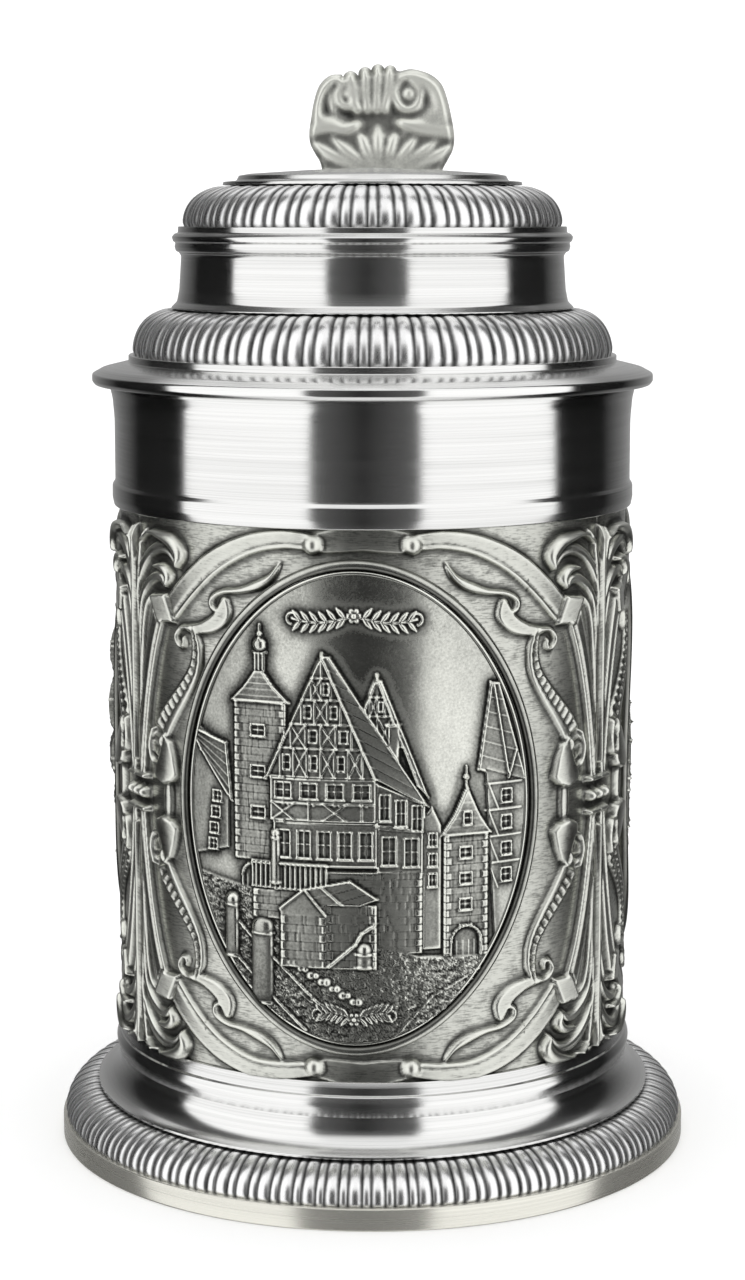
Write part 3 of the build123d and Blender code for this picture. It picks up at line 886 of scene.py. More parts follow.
def flourish(r, z, width, side, level=0.0):
    """Garland of paired leaves on a curved stem, round a small rosette."""
    for mirror in (1, -1):
        stem = [(mirror * width * t, z + side * 1.1 * math.sin(t * 2.6), 0.24)
                for t in np.linspace(0.06, 1, 9)]
        curl = [(mirror * (width + 0.9 * math.sin(a)), z + side * (0.6 + 0.9 * math.cos(a)), 0.24)
                for a in np.linspace(0.2, 4.4, 9)]
        r.stroke(stem, level + 0.45, round_bar)
        r.stroke(curl, level + 0.45, round_bar)
        for k in range(1, 7):
            t = k / 7
            s0, z0 = mirror * width * t, z + side * 1.1 * math.sin(t * 2.6)
            for up in (1, -1):
                r.stroke([(s0, z0, 0.2), (s0 + mirror * 0.7, z0 + up * 0.8, 0.42),
                          (s0 + mirror * 1.3, z0 + up * 1.5, 0.15)], level + 0.5, leaf_bar)
    for a in np.arange(0, TURN, math.pi / 3):
        r.ball(0.75 * math.cos(a), z + 0.75 * math.sin(a), 0.45, level + 0.45)
    r.ball(0, z, 0.5, level + 0.7)


def corner_town(r):
    """Tall timbered house on a forked street, between a domed tower and a gate tower."""
    def up(points):
        return [(s, MIDDLE_Z + v) for s, v in points]

    m = MIDDLE_Z
    # Far houses at both edges of the view.
    r.plate(up([(-28, -9), (-20.5, -7), (-20.5, 4), (-21.5, 9), (-28, 13)]), 0.28)
    roof_slope(r, up([(-28, 11.6), (-20.8, 9.6), (-19.8, 0.5), (-25.6, 8.0)]), 0.40, 5)
    for k in range(4):
        window(r, -22.6 - 0.3 * k, m + 1.0 - 2.6 * k, 1.5, 1.6, 0.28)
    roof_slope(r, up([(21.4, 19.6), (22.8, 19.4), (28, 3.0), (19.4, 6.0)]), 0.42, 6)
    r.plate(up([(20.6, 6), (28, 3.6), (28, -22), (22.4, -22)]), 0.26)
    for k in range(4):
        window(r, 24.3, m + 1.5 - 4.2 * k, 1.7, 2.0, 0.26)
        r.line(up([(20.6, 3.6 - 4.2 * k), (27, 3.6 - 4.2 * k)]), 0.18, 0.2)
        r.line(up([(21.2, 3.4 - 4.2 * k), (22.8, -0.4 - 4.2 * k)]), 0.17, 0.16)
    r.line(up([(21.9, 19.0), (24.6, 4.4), (25.9, 8.6)]), 0.24, 0.26)
    # Left tower with bulbous top.
    tower(r, -19.3, -10.6, m - 8.5, m + 16.6, 0.42, 3, 11)
    pyramid_roof(r, -19.3, -10.6, m + 16.6, m + 22.4, 0.50, 0.5)
    onion_top(r, -14.9, m + 22.0, 0.45)
    archway(r, -16.0, m - 15.5, 2.0, 6.5, 0.35)
    # House behind, then the main house with its long right roof.
    timber_gable(r, -0.6, 7.6, m + 10.0, m + 21.0, 0.42, 0.0, (0.45, 0.72))
    roof_slope(r, up([(3.6, 20.6), (4.2, 20.4), (11.4, 2.0), (9.6, 4.0)]), 0.52, 6)
    r.plate(box_corners(5.2, 6.8, m + 7.5, m + 13.6), 0.75)
    r.line([(4.9, m + 13.6), (7.1, m + 13.6)], 0.3, 0.3)
    timber_gable(r, -13.4, 3.2, m + 5.2, m + 24.2, 0.66, 0.2, (0.24, 0.44, 0.64, 0.82))
    roof_slope(r, up([(-4.9, 24.2), (-3.7, 24.0), (11.4, 0.6), (3.2, 5.2)]), 0.72, 9)
    storey(r, -12.9, 3.2, m - 1.6, m + 5.0, 0.74, 4, True)
    storey(r, 3.4, 10.8, m - 2.2, m + 4.4, 0.56, 3, False, 3.4)
    storey(r, -12.4, 3.4, m - 8.8, m - 1.9, 0.66, 5, False)
    storey(r, 3.6, 10.4, m - 9.6, m - 2.5, 0.50, 2, False, 0.7)
    for k in range(4):
        r.ball(-10.9 + 4.0 * k, m + 1.2, 0.75, 1.0)
        r.ball(-10.1 + 4.0 * k, m + 1.0, 0.6, 0.95)
    masonry(r, -12.4, 10.4, m - 22.6, m - 9.6, 0.44, 11, 23)
    # Narrow house and gate tower on the right.
    r.plate(up([(10.6, -22), (13.4, -22), (13.4, -2.4), (12.0, 0.6), (10.6, -1.2)]), 0.42)
    for k in range(3):
        window(r, 12.0, m - 4.6 - 3.2 * k, 1.2, 2.0, 0.42)
    tower(r, 13.9, 21.0, m - 24.2, m - 4.0, 0.56, 4, 31)
    pyramid_roof(r, 13.9, 21.0, m - 4.0, m + 3.6, 0.66, 3.0)
    window(r, 17.4, m - 1.4, 1.2, 1.9, 0.85, 0)
    archway(r, 17.4, m - 24.2, 2.4, 5.6, 0.56)
    # Street, terrace with its rail, lean-to, steps and bollards.
    cobbled_ground(r, up([(28, -21), (22, -23.5), (10, -23.0), (-9, -17), (-16, -13.0), (-28, -11)]), 0.36, 5)
    r.line(up([(21, -25), (12, -29.5), (6, -36)]), 0.22, 0.16)
    rail(r, -16.2, -4.2, m - 12.6, m - 8.6, 0.80, 15)
    masonry(r, -16.0, -3.8, m - 17.5, m - 12.9, 0.62, 4, 41)
    roof_slope(r, up([(-7.6, -12.4), (-0.6, -10.9), (3.6, -13.8), (-4.2, -16.6)]), 1.0, 3)
    r.plate(up([(-11.6, -15.6), (-7.6, -12.4), (-4.2, -16.6), (-11.2, -17.4)]), 0.94)
    for a, b in (((-7.6, -12.4), (-4.2, -16.6)), ((-5.0, -11.9), (-1.0, -15.4)),
                 ((-11.6, -15.8), (-7.6, -12.4))):
        r.line(up([a, b]), 0.22, 0.3)
    masonry(r, -11.4, -4.2, m - 25.0, m - 16.7, 0.90, 6, 43)
    masonry(r, -4.2, 3.4, m - 25.0, m - 14.8, 0.78, 7, 47)
    for k in range(15):
        r.ball(-10.8 + 0.82 * k, m - 23.2 - 0.5 * k - 0.5 * (k % 2), 0.62 + 0.12 * (k % 3), 1.0)
    r.line(up([(-3.8, -24.6), (0.2, -21.0), (1.2, -19.2), (3.4, -17.6)]), 0.3, 0.4)
    for a, b in (((-19.6, -17.6), (-14.6, -22.5)), ((-14.0, -22.5), (-4.0, -32.0)),
                 ((-19.0, -24.0), (-7.5, -35.0))):
        r.line(up([a, b]), 0.28, 0.4)
    for s, low, high, half in ((-19.8, -24.5, -15.0, 1.15), (-14.5, -31.5, -19.0, 1.75),
                               (-12.2, -12.0, -3.6, 0.75), (1.6, -25.0, -21.6, 1.2)):
        bollard(r, s, m + low, m + high, half, 1.1)
    flourish(r, m + 30.4, 9.5, -1)
    flourish(r, m - 33.0, 5.5, 1, 0.5)


def church_town(r):
    """Church among timbered houses, above a river with an arched bridge."""
    m = MIDDLE_Z
    hills = [(-28, m - 6), (28, m - 6), (28, m + 5), (19, m + 8), (9, m + 4), (-6, m + 6), (-18, m + 10),
             (-28, m + 6)]
    r.plate(hills, 0.12, 0.8)
    tower(r, -5.6, 2.2, m - 9, m + 16.5, 0.55, 3, 61)
    pyramid_roof(r, -5.6, 2.2, m + 16.5, m + 22.0, 0.62, 0.5)
    onion_top(r, -1.7, m + 21.6, 0.55)
    r.plate(box_corners(2.2, 15.0, m - 9, m + 4), 0.5)
    roof_slope(r, [(2.4, m + 12), (12.6, m + 12), (15.6, m + 4), (2.4, m + 4)], 0.58, 7)
    for k in range(4):
        window(r, 4.4 + 3.0 * k, m - 1.6, 1.4, 4.4, 0.5)
    roof_slope(r, [(-16.6, m + 14.6), (-15.2, m + 14.4), (-5.6, m + 1.6), (-10.6, m + 3.0)], 0.66, 8)
    timber_gable(r, -22.6, -10.6, m + 3, m + 14.6, 0.62)
    storey(r, -22.2, -11.0, m - 3.2, m + 3, 0.68, 3, True)
    storey(r, -22.0, -11.2, m - 9.4, m - 3.4, 0.60, 3, False)
    timber_gable(r, 12.6, 23.4, m - 0.5, m + 10.5, 0.70, 0.0, (0.32, 0.62))
    storey(r, 13.0, 23.0, m - 8.8, m - 0.7, 0.76, 3, True)
    storey(r, -10.6, -5.8, m - 9.2, m + 0.6, 0.5, 2, False, 1.6)
    for s0, low, crowns in ((22.0, m - 4.0, [(1.0, -2.6, 3.6, 1.2), (2.6, 5.0, 4.6, 1.65),
                                             (2.6, 13.2, 5.2, 1.75), (0.2, 22.0, 4.8, 1.6)]),
                            (-24.0, m - 3.0, [(0.5, 0.0, 3.2, 0.8), (0.8, 5.4, 3.4, 0.95),
                                              (0.2, 11.0, 3.0, 0.8)])):
        tree(r, s0, low, crowns, 72)
    masonry(r, -27, 27, m - 14.0, m - 9.4, 0.46, 4, 71)
    for k in range(12):
        r.ball(-24 + 4.3 * k, m - 9.2, 1.1, 0.78)
    r.plate(box_corners(-28, 28, m - 38, m - 14), 0.08)
    stones = np.random.default_rng(77)
    for k in range(26):
        s0, z0 = stones.uniform(-22, 18), m - 15.5 - 0.8 * k
        half = stones.uniform(1.5, 4.0)
        r.line([(s0 - half, z0), (s0, z0 + 0.3), (s0 + half, z0)], 0.24, 0.14)
    masonry(r, -27, 27, m - 22.8, m - 15.4, 0.82, 6, 79)
    for s0 in (-15.5, 0.0, 15.5):
        archway(r, s0, m - 23.4, 5.2, 6.4, 0.5)
    for z0, half in ((m - 15.2, 0.42), (m - 16.4, 0.22)):
        r.line([(-27, z0), (27, z0)], half, 0.4)
    for s0 in (-7.8, 7.8):
        bollard(r, s0, m - 25.5, m - 15.0, 1.3, 1.05)
    flourish(r, m + 30.4, 9.5, -1)
    flourish(r, m - 33.0, 5.5, 1, 0.2)


def gate_town(r):
    """Town gate with round turrets at the end of a market street, with a fountain."""
    m = MIDDLE_Z
    for side in (-1, 1):
        near, far = sorted((side * 11.0, side * 22.6))
        timber_gable(r, near, far, m + (2 if side > 0 else 0), m + (15 if side > 0 else 12.5), 0.6, 0.0,
                     (0.26, 0.50, 0.74))
        storey(r, near + 0.4, far - 0.4, m - 5.2, m + (1.8 if side > 0 else -0.2), 0.68, 3, True)
        storey(r, near + 0.6, far - 0.6, m - 11.6, m - 5.4, 0.6, 4, False)
        masonry(r, near + 0.8, far - 0.8, m - 19.0, m - 11.8, 0.5, 6, 90 + side)
        archway(r, (near + far) / 2, m - 19.0, 1.7, 5.0, 0.5)
    tower(r, -5.8, 5.8, m - 19.0, m + 13.0, 0.72, 3, 81)
    pyramid_roof(r, -6.2, 6.2, m + 13.0, m + 23.5, 0.8, 2.6, 0.8)
    for s0 in (-2.6, 2.6):
        window(r, s0, m + 16.2, 1.1, 1.5, 0.95, 0)
    archway(r, 0, m - 19.0, 3.5, 9.5, 0.72)
    for s0 in (-8.2, 8.2):
        tower(r, s0 - 1.9, s0 + 1.9, m - 19.0, m + 0.5, 0.66, 3, 83)
        pyramid_roof(r, s0 - 1.9, s0 + 1.9, m + 0.5, m + 6.8, 0.74, 1.4, 0.4)
    ground = [(28, m - 18.5), (0, m - 19.6), (-28, m - 18.5)]
    cobbled_ground(r, ground, 0.34, 15)
    for side in (-1, 1):
        r.line([(side * 4.0, m - 19.6), (side * 13.0, m - 31.0)], 0.26, 0.2)
        for k in range(3):
            bollard(r, side * (14.6 - 1.9 * k), m - 27.5 + 1.8 * k, m - 22.0 + 1.5 * k, 1.0 - 0.18 * k,
                    1.0 - 0.1 * k)
    r.plate([(-5.2, m - 24.6), (5.2, m - 24.6), (4.4, m - 28.4), (-4.4, m - 28.4)],
            lambda s, z: 1.1 - 0.018 * s ** 2)
    r.line([(-5.5, m - 24.4), (5.5, m - 24.4)], 0.42, 0.3)
    r.line([(-4.6, m - 28.3), (4.6, m - 28.3)], 0.42, 0.3)
    for k in range(-2, 3):
        r.line([(1.9 * k, m - 24.8), (1.65 * k, m - 28.0)], 0.2, 0.16)
    bollard(r, 0, m - 24.4, m - 16.8, 0.85, 1.1)
    flourish(r, m + 30.4, 9.5, -1)
    flourish(r, m - 33.0, 5.5, 1, 0.5)


def medallion(panel, turn, draw, material):
    """Oval plaque on the barrel with a scene in relief."""
    half_width, half_height, base = 25.9, 36.7, 42.75
    cell = 0.18
    s = np.arange(-28.0, 28.0, cell)
    z = MIDDLE_Z + np.arange(-37.2, 37.2, cell)
    scene = Relief(s, z)
    draw(scene)
    grain = np.random.default_rng(7).normal(size=scene.h.shape)
    scene.h = blur(scene.h, (0.2, 0.2)) * 0.25 + scene.h * 0.75 + 0.35 * blur(grain, (9, 9))
    scene.h = np.clip(scene.h, -0.1, 1.75)
    detail = scene.h - blur(scene.h, (2, 2))
    built = blur(np.clip((scene.h - 0.22) / 0.2, 0, 1), (1, 1))
    patina = np.maximum(np.clip(blur(np.abs(detail), (4, 4)) / 0.05, 0, 1), 0.85 * built)
    fine = scene.h - blur(scene.h, (1.2, 1.2))
    broad = scene.h - blur(scene.h, (7, 7))
    across = scene.s[:, None] / (base * math.asin(half_width / base) * PANEL_R / base)
    upward = (scene.z[None, :] - MIDDLE_Z) / half_height
    oval = np.hypot(across, upward)
    # Painted shade: darker towards the left side, towards the rim of the plaque and towards the bottom.
    painted_shade = 0.10 * soft_step(-across / 0.8) + 0.09 * soft_step((oval - 0.66) / 0.34)
    painted_shade = painted_shade + 0.05 * soft_step(-upward * 2 - 1)
    # Patina darkens the busy and built-up parts; fine and broad height differences paint highlights on raised
    # lines and shade beside them.
    wear_and_painted_light = np.clip(0.60 - 0.25 * patina + 4.8 * fine + 0.14 * broad - painted_shade, 0, 1)
    obj = relief_object("medallion_" + panel + "_look", scene, base, turn + PLAQUE_TURN, oval < 1.0, wear_and_painted_light)
    place(obj, "medallion_" + panel, "mug", material)


# ---- bezels ------------------------------------------------------------------------------------
def oval_wire(turn, half_width, half_height, crest_radius, wire, segments=240, sides=18):
    """Round wire that follows an upright oval on the barrel. Its wire is (across, out) in mm."""
    t = angles_round(segments)
    x, z = half_width * np.cos(t), half_height * np.sin(t)
    phi = np.arcsin(x / crest_radius)
    dx, dz = -half_width * np.sin(t), half_height * np.cos(t)
    along = np.stack([crest_radius * dx / np.sqrt(crest_radius ** 2 - x ** 2), dz], axis=1)
    along /= np.linalg.norm(along, axis=1)[:, None]
    across = np.stack([along[:, 1], -along[:, 0]], axis=1)
    a = angles_round(sides)
    s = phi[:, None] * crest_radius + across[:, :1] * wire[0] * np.cos(a)[None, :]
    h = z[:, None] + across[:, 1:] * wire[0] * np.cos(a)[None, :]
    r = crest_radius + wire[1] * np.sin(a)[None, :] + 0 * s
    angle = s / crest_radius + turn
    vertices = np.stack([r * np.sin(angle), -r * np.cos(angle), MIDDLE_Z + h], axis=-1).reshape(-1, 3)
    # Painted highlight along the top of the wire, turned a little to one side; the flanks are painted darker.
    crest = np.clip(np.sin(a + 0.2), 0, 1) ** 3
    return vertices, grid_faces(segments, sides, True, True), np.tile(crest, segments)


def make_bezel(panel, turn, material):
    outer, outer_faces, outer_wear_and_painted_light = oval_wire(turn + PLAQUE_TURN, 27.45, 38.25, 42.6, (0.82, 0.92))
    inner, inner_faces, inner_wear_and_painted_light = oval_wire(turn + PLAQUE_TURN, 26.2, 37.0, 42.8, (0.38, 0.45))
    obj = new_object("bezel_" + panel + "_look", np.vstack([outer, inner]),
                     np.vstack([outer_faces, inner_faces + len(outer)]))
    # Outer wire darker than the inner one, both with the painted highlight along their tops.
    add_attribute(obj, "wear_and_painted_light", np.concatenate([0.12 + 0.52 * outer_wear_and_painted_light, 0.22 + 0.66 * inner_wear_and_painted_light]))
    place(obj, "bezel_" + panel, "mug", material)


antique = cast_pewter(
    "antique_relief", [(0.02, 0.07), (0.34, 0.25), (0.52, 0.63), (0.72, 0.74), (0.95, 0.84)],
    [(0.0, 0.46), (0.5, 0.28), (0.8, 0.33)], 2.5e-5, chasing=0.14, tint=AGED)
plaque = cast_pewter(
    "plaque", [(0.0, 0.02), (0.20, 0.14), (0.38, 0.38), (0.56, 0.64), (0.76, 0.97)],
    [(0.0, 0.60), (0.36, 0.44), (0.54, 0.20), (0.68, 0.22), (0.9, 0.46)], 1.5e-5,
    speckle=0.36, mottling=0.14, tint=AGED)
bezel_metal = cast_pewter(
    "bezel_metal", [(0.0, 0.05), (0.40, 0.28), (0.80, 0.86)], [(0.0, 0.36), (1.0, 0.18)], 2e-5, tint=AGED)
make_panels(antique)
townscapes = {"front": corner_town, "left": church_town, "right": gate_town}
for panel_name, panel_turn in PANEL_TURNS.items():
    medallion(panel_name, panel_turn, townscapes[panel_name], plaque)
    make_bezel(panel_name, panel_turn, bezel_metal)


# ---- castings: thumblift, handle, hinge ----------------------------------------------------------
def cast_plate(name, outline, front, back, middle_y, half_web, edge_round):
    """Upright plate between two relief faces, closed along its outline in the XZ plane."""
    _, _, _, distance = front.inside(outline, 5.0)
    slope_s, slope_z = np.gradient(distance, front.s, front.z)
    length = np.hypot(slope_s, slope_z) + 1e-9
    cells = (distance[:-1, :-1] + distance[1:, :-1] + distance[:-1, 1:] + distance[1:, 1:]) > 0
    grid = grid_faces(len(front.s), len(front.z), False, False)[cells.ravel()]
    edges = np.concatenate([grid[:, [k, (k + 1) % 4]] for k in range(4)])
    keys, counts = np.unique(np.sort(edges, axis=1), axis=0, return_counts=True)
    rim = np.zeros(distance.size, dtype=bool)
    rim[np.unique(keys[counts == 1])] = True
    rim = rim.reshape(distance.shape)
    s = front.s[:, None] - np.where(rim, distance * slope_s / length, 0)
    z = front.z[None, :] - np.where(rim, distance * slope_z / length, 0)
    bulge = 1 - np.clip(1 - distance / edge_round, 0, 1) ** 2
    bulge = np.where(rim, 0, np.sqrt(np.clip(bulge, 0.02, 1)))
    count = distance.size
    vertices, wear_and_painted_light_parts = [], []
    for face, sign in ((front, -1), (back, 1)):
        y = middle_y + sign * bulge * (half_web + face.h)
        vertices.append(np.stack([s, y, z], axis=-1).reshape(-1, 3))
        # Painted highlight on the raised parts of each face and painted shade in its hollows, with polish and
        # tarnish.
        wear_and_painted_light_parts.append(wear_and_painted_light_of(face, 0.72, 1.1, 0.45).ravel())
    faces = np.vstack([grid[:, ::-1], grid + count])
    vertices, wear_and_painted_light_parts = np.vstack(vertices), np.concatenate(wear_and_painted_light_parts)
    used, faces = np.unique(faces, return_inverse=True)
    obj = new_object(name, vertices[used], faces.reshape(-1, 4))
    add_attribute(obj, "wear_and_painted_light", wear_and_painted_light_parts[used])
    return weld(obj)


def make_thumblift(material):
    """Pierced-looking scroll crest: ribs and volutes above, draped lips, and a fan of leaves."""
    right = [(5.2, 131.9), (4.7, 137.0), (4.7, 142.0), (6.1, 148.0), (8.6, 154.0), (10.2, 159.0),
             (10.8, 162.2),
             (11.8, 164.2), (12.8, 166.2), (13.05, 168.6), (12.5, 172.0), (11.6, 175.6), (10.5, 178.0),
             (8.4, 179.6), (5.4, 180.4), (3.2, 180.0)]
    lobes = [(1.5, 181.1, 1.15), (-0.7, 181.3, 1.2), (-3.0, 180.8, 1.25), (-5.6, 180.1, 1.4)]
    left = [(-7.2, 179.5), (-9.3, 179.3), (-11.2, 177.6), (-12.2, 174.8), (-12.8, 171.4), (-13.1, 169.2),
            (-12.9, 167.2), (-12.0, 165.4), (-11.1, 163.8), (-10.5, 161.0), (-9.6, 157.0), (-7.6, 152.0),
            (-5.6, 146.0), (-4.7, 140.0), (-5.2, 131.9)]
    top = []
    for s, z, half in lobes:
        top += [(s + half * math.cos(a), z - half + half * math.sin(a))
                for a in np.linspace(0.2, math.pi - 0.2, 9)]
    side_right, side_left = (smooth_path([(s, z, 1) for s, z in side], 0.3)[:, :2] for side in (right, left))
    outline = np.vstack([side_right, np.array(top), side_left])
    s, z = np.arange(-13.8, 13.8, 0.19), np.arange(131.3, 182.0, 0.19)
    front, back = Relief(s, z), Relief(s, z)
    front.h[:] = 0.75
    back.h[:] = 0.3

    # Stem, with a ridge and mouldings.
    for face in (front, back):
        face.stroke([(0, 132.5, 0.9), (0, 145, 1.0), (0, 156, 1.3), (0, 160, 0.9)], 1.25, round_bar)
        for mirror in (-1, 1):
            face.stroke([(mirror * 3.4, 132.5, 0.7), (mirror * 3.0, 142, 0.7), (mirror * 4.8, 152, 0.8),
                         (mirror * 7.8, 159.5, 0.8)], 1.1, round_bar)
        for level in (133.4, 144.5):
            face.stroke([(s0, level, 0.9) for s0 in (-4.2, 0, 4.2)], 1.4, round_bar)

    # Cavity, ribs and volutes.
    front.plate([(-8.0, 173.0), (-4.0, 175.0), (2.5, 175.0), (6.6, 173.4), (5.4, 171.2), (2.6, 168.4),
                 (-0.5, 169.6), (-3.6, 168.4), (-4.8, 170.6)], 0.0, 1.4)
    front.plate([(-10.2, 177.6), (-8.4, 177.6), (-8.4, 172.6), (-10.4, 171.6)], 0.2, 0.9)
    front.plate([(7.4, 178.0), (9.3, 175.4), (7.4, 174.2)], 0.1, 0.8)
    for s0, top_z, half in lobes:
        front.stroke([(s0, top_z + 0.3, half), (s0 * 0.95, top_z - 2.4, half),
                      (s0 * 0.85 - 0.2, top_z - 5.0, half * 0.9), (s0 * 0.7 - 0.4, 173.2, half * 0.7)],
                     1.7, soft_bar)
    volute_z, first_turn, last_turn, samples = 175.9, 1.9, 7.6, 14
    for s0, radius, eye in ((-6.2, 1.8, 1.1), (4.9, 2.3, 1.5)):
        mirror = 1 if s0 > 0 else -1
        turns = zip(np.linspace(first_turn, last_turn, samples), np.linspace(1.15, 0.85, samples))
        curl = [(s0 + mirror * radius * k * math.cos(a), volute_z + 1.2 * radius * k * math.sin(a), 0.85)
                for a, k in turns]
        front.stroke(curl, 1.6, soft_bar)
        front.ball(s0, 176.0, eye, 1.7)

    # Rib at the left, shoulders over the volutes, draped lips and the band they end on.
    for height, points in (
            (1.2, [(-8.8, 178.2, 0.6), (-9.2, 175.4, 0.75), (-8.6, 173.0, 0.8)]),
            (1.6, [(3.4, 179.2, 1.0), (6.2, 179.0, 1.5), (9.2, 177.2, 1.9), (10.7, 174.2, 2.3),
                   (10.6, 171.9, 2.9), (9.6, 170.8, 3.0)]),
            (1.6, [(-6.6, 178.6, 0.9), (-9.2, 178.4, 1.1), (-11.2, 176.0, 1.25), (-11.9, 172.9, 1.4),
                   (-11.0, 170.9, 1.9), (-9.0, 170.6, 1.7)]),
            (1.75, [(3.4, 170.9, 0.9), (5.8, 170.3, 1.6), (8.8, 169.9, 2.0), (12.4, 169.4, 1.5)]),
            (1.75, [(-4.4, 170.6, 0.9), (-6.6, 169.7, 1.3), (-9.3, 170.2, 1.6), (-12.6, 169.6, 1.4)]),
            (1.6, [(-10.9, 161.6, 1.3), (0, 161.8, 1.6), (10.9, 161.6, 1.3)])):
        front.stroke(points, height, soft_bar)
    # Fan of leaves.
    for foot, tip, half in (((-3.2, 162.4), (-12.1, 167.1), 1.35), ((3.6, 162.2), (12.5, 166.6), 1.35),
                            ((-2.4, 163.2), (-8.8, 168.2), 1.25), ((2.8, 163.0), (9.8, 167.6), 1.25),
                            ((1.8, 163.2), (6.2, 168.2), 1.2), ((-1.3, 163.0), (-3.8, 169.0), 1.3),
                            ((0.7, 163.0), (2.4, 169.0), 1.2), ((-0.4, 162.6), (-0.7, 169.9), 1.2)):
        middle = ((foot[0] * 0.4 + tip[0] * 0.6), (foot[1] * 0.45 + tip[1] * 0.55))
        front.stroke([foot + (half * 0.8,), middle + (half,), tip + (0.35,)], 1.7, soft_bar)

    # Shell flutes on the back.
    for spread in np.arange(-4, 5) / 4:
        back.stroke([(spread * 1.2, 160.0, 0.5), (spread * 6.0, 168.0, 0.95),
                     (spread * 10.4, 178.0 - 3.5 * spread ** 2, 1.25)], 1.5, round_bar)
    front.h, back.h = blur(front.h, (1.6, 1.6)), blur(back.h, (1, 1))
    middle_y, half_web, edge_round = 46.0, 0.7, 1.3
    obj = cast_plate("thumblift_look", outline, front, back, middle_y, half_web, edge_round)
    place(obj, "thumblift", "lid", material)


def tangent_arc(start, direction, end, count):
    """Points on the arc that leaves start in a direction and reaches end, and its last direction."""
    normal = np.array([-direction[1], direction[0]])
    chord = end - start
    radius = chord @ chord / (2 * (normal @ chord))
    centre = start + normal * radius
    a, b = (math.atan2(*(p - centre)[::-1]) for p in (start, end))
    turn = (b - a) % TURN if radius > 0 else -((a - b) % TURN)
    angles = a + turn * np.linspace(0, 1, count)
    points = centre + abs(radius) * np.stack([np.cos(angles), np.sin(angles)], axis=1)
    last = np.array([-math.sin(angles[-1]), math.cos(angles[-1])]) * np.sign(turn)
    return points, last


def even_path(points, step):
    """The same line with points step apart."""
    lengths = np.concatenate([[0], np.cumsum(np.linalg.norm(np.diff(points, axis=0), axis=1))])
    along = np.arange(0, lengths[-1], step)
    return np.stack([np.interp(along, lengths, points[:, k]) for k in (0, 1)], axis=1), along


def swept_bar(points, along, section, around=96):
    """Closed bar in the plane x = 0. Its section gives half width, half depth and the attribute of polish and
    painted light.
    """
    tangent = np.gradient(points, axis=0)
    tangent /= np.linalg.norm(tangent, axis=1)[:, None]
    outward = np.stack([-tangent[:, 1], tangent[:, 0]], axis=1)
    angle = angles_round(around)
    half_width, half_depth, wear_and_painted_light = section(angle[None, :], along[:, None])
    x = half_width * np.sin(angle)[None, :]
    lift = half_depth * np.cos(angle)[None, :]
    y = points[:, :1] + outward[:, :1] * lift
    z = points[:, 1:] + outward[:, 1:] * lift
    vertices = np.stack([x, y, z], axis=-1)
    ends = [np.broadcast_to(vertices[k].mean(axis=0), (1, around, 3)) for k in (0, -1)]
    vertices = np.concatenate([ends[0], vertices, ends[1]])
    wear_and_painted_light = np.concatenate([wear_and_painted_light[:1], wear_and_painted_light, wear_and_painted_light[-1:]])
    faces = grid_faces(vertices.shape[0], around, False, True)
    return vertices.reshape(-1, 3), faces, wear_and_painted_light.ravel()


def join_shells(name, shells):
    """One object from several closed shells of (vertices, faces, attribute of polish and painted light)."""
    vertices, faces, wear_and_painted_light_parts, count = [], [], [], 0
    for shell_vertices, shell_faces, wear_and_painted_light in shells:
        vertices.append(shell_vertices)
        faces.append(shell_faces + count)
        wear_and_painted_light_parts.append(wear_and_painted_light)
        count += len(shell_vertices)
    obj = new_object(name, np.vstack(vertices), np.vstack(faces), sharp=50)
    add_attribute(obj, "wear_and_painted_light", np.concatenate(wear_and_painted_light_parts))
    return weld(obj)


def handle_section(angle, along):
    """Oval with a leaf along the outer side, rings at both ends and flutes below."""
    angle = (angle + math.pi) % TURN - math.pi
    away = np.abs(angle)
    leaf = soft_step((along - 9) / 3) * soft_step((66 - along) / 3)
    veins = 0.5 + 0.5 * np.cos((along + away * 7.5) * TURN / 4.2)
    edge = soft_step((1.55 + 0.22 * veins - away) / 0.12)
    rise = leaf * edge * (0.045 + 0.05 * veins ** 0.7 + 0.05 * np.exp(-(away / 0.14) ** 2))
    rise = rise - leaf * 0.05 * np.exp(-((away - 0.26) / 0.09) ** 2)
    flutes = soft_step((along - 74) / 2) * soft_step((101 - along) / 2)
    rise = rise + flutes * 0.055 * np.abs(np.cos(angle * 5)) ** 0.6
    for place_along, width, size in ((5.0, 0.9, 0.09), (7.4, 0.9, 0.06), (69.0, 0.9, 0.10), (71.0, 0.7, 0.06),
                                     (67.2, 0.7, 0.06), (104.0, 0.9, 0.10)):
        rise = rise + size * np.exp(-((along - place_along) / width) ** 2)
    size = np.minimum(0.88 + rise, 1.0)
    # Raised leaf, rings and flutes are painted brighter: a painted highlight with handling polish.
    wear_and_painted_light = np.clip(0.42 + 4.2 * rise, 0, 1)
    return 5.5 * size, 4.0 * size, wear_and_painted_light + 0 * angle


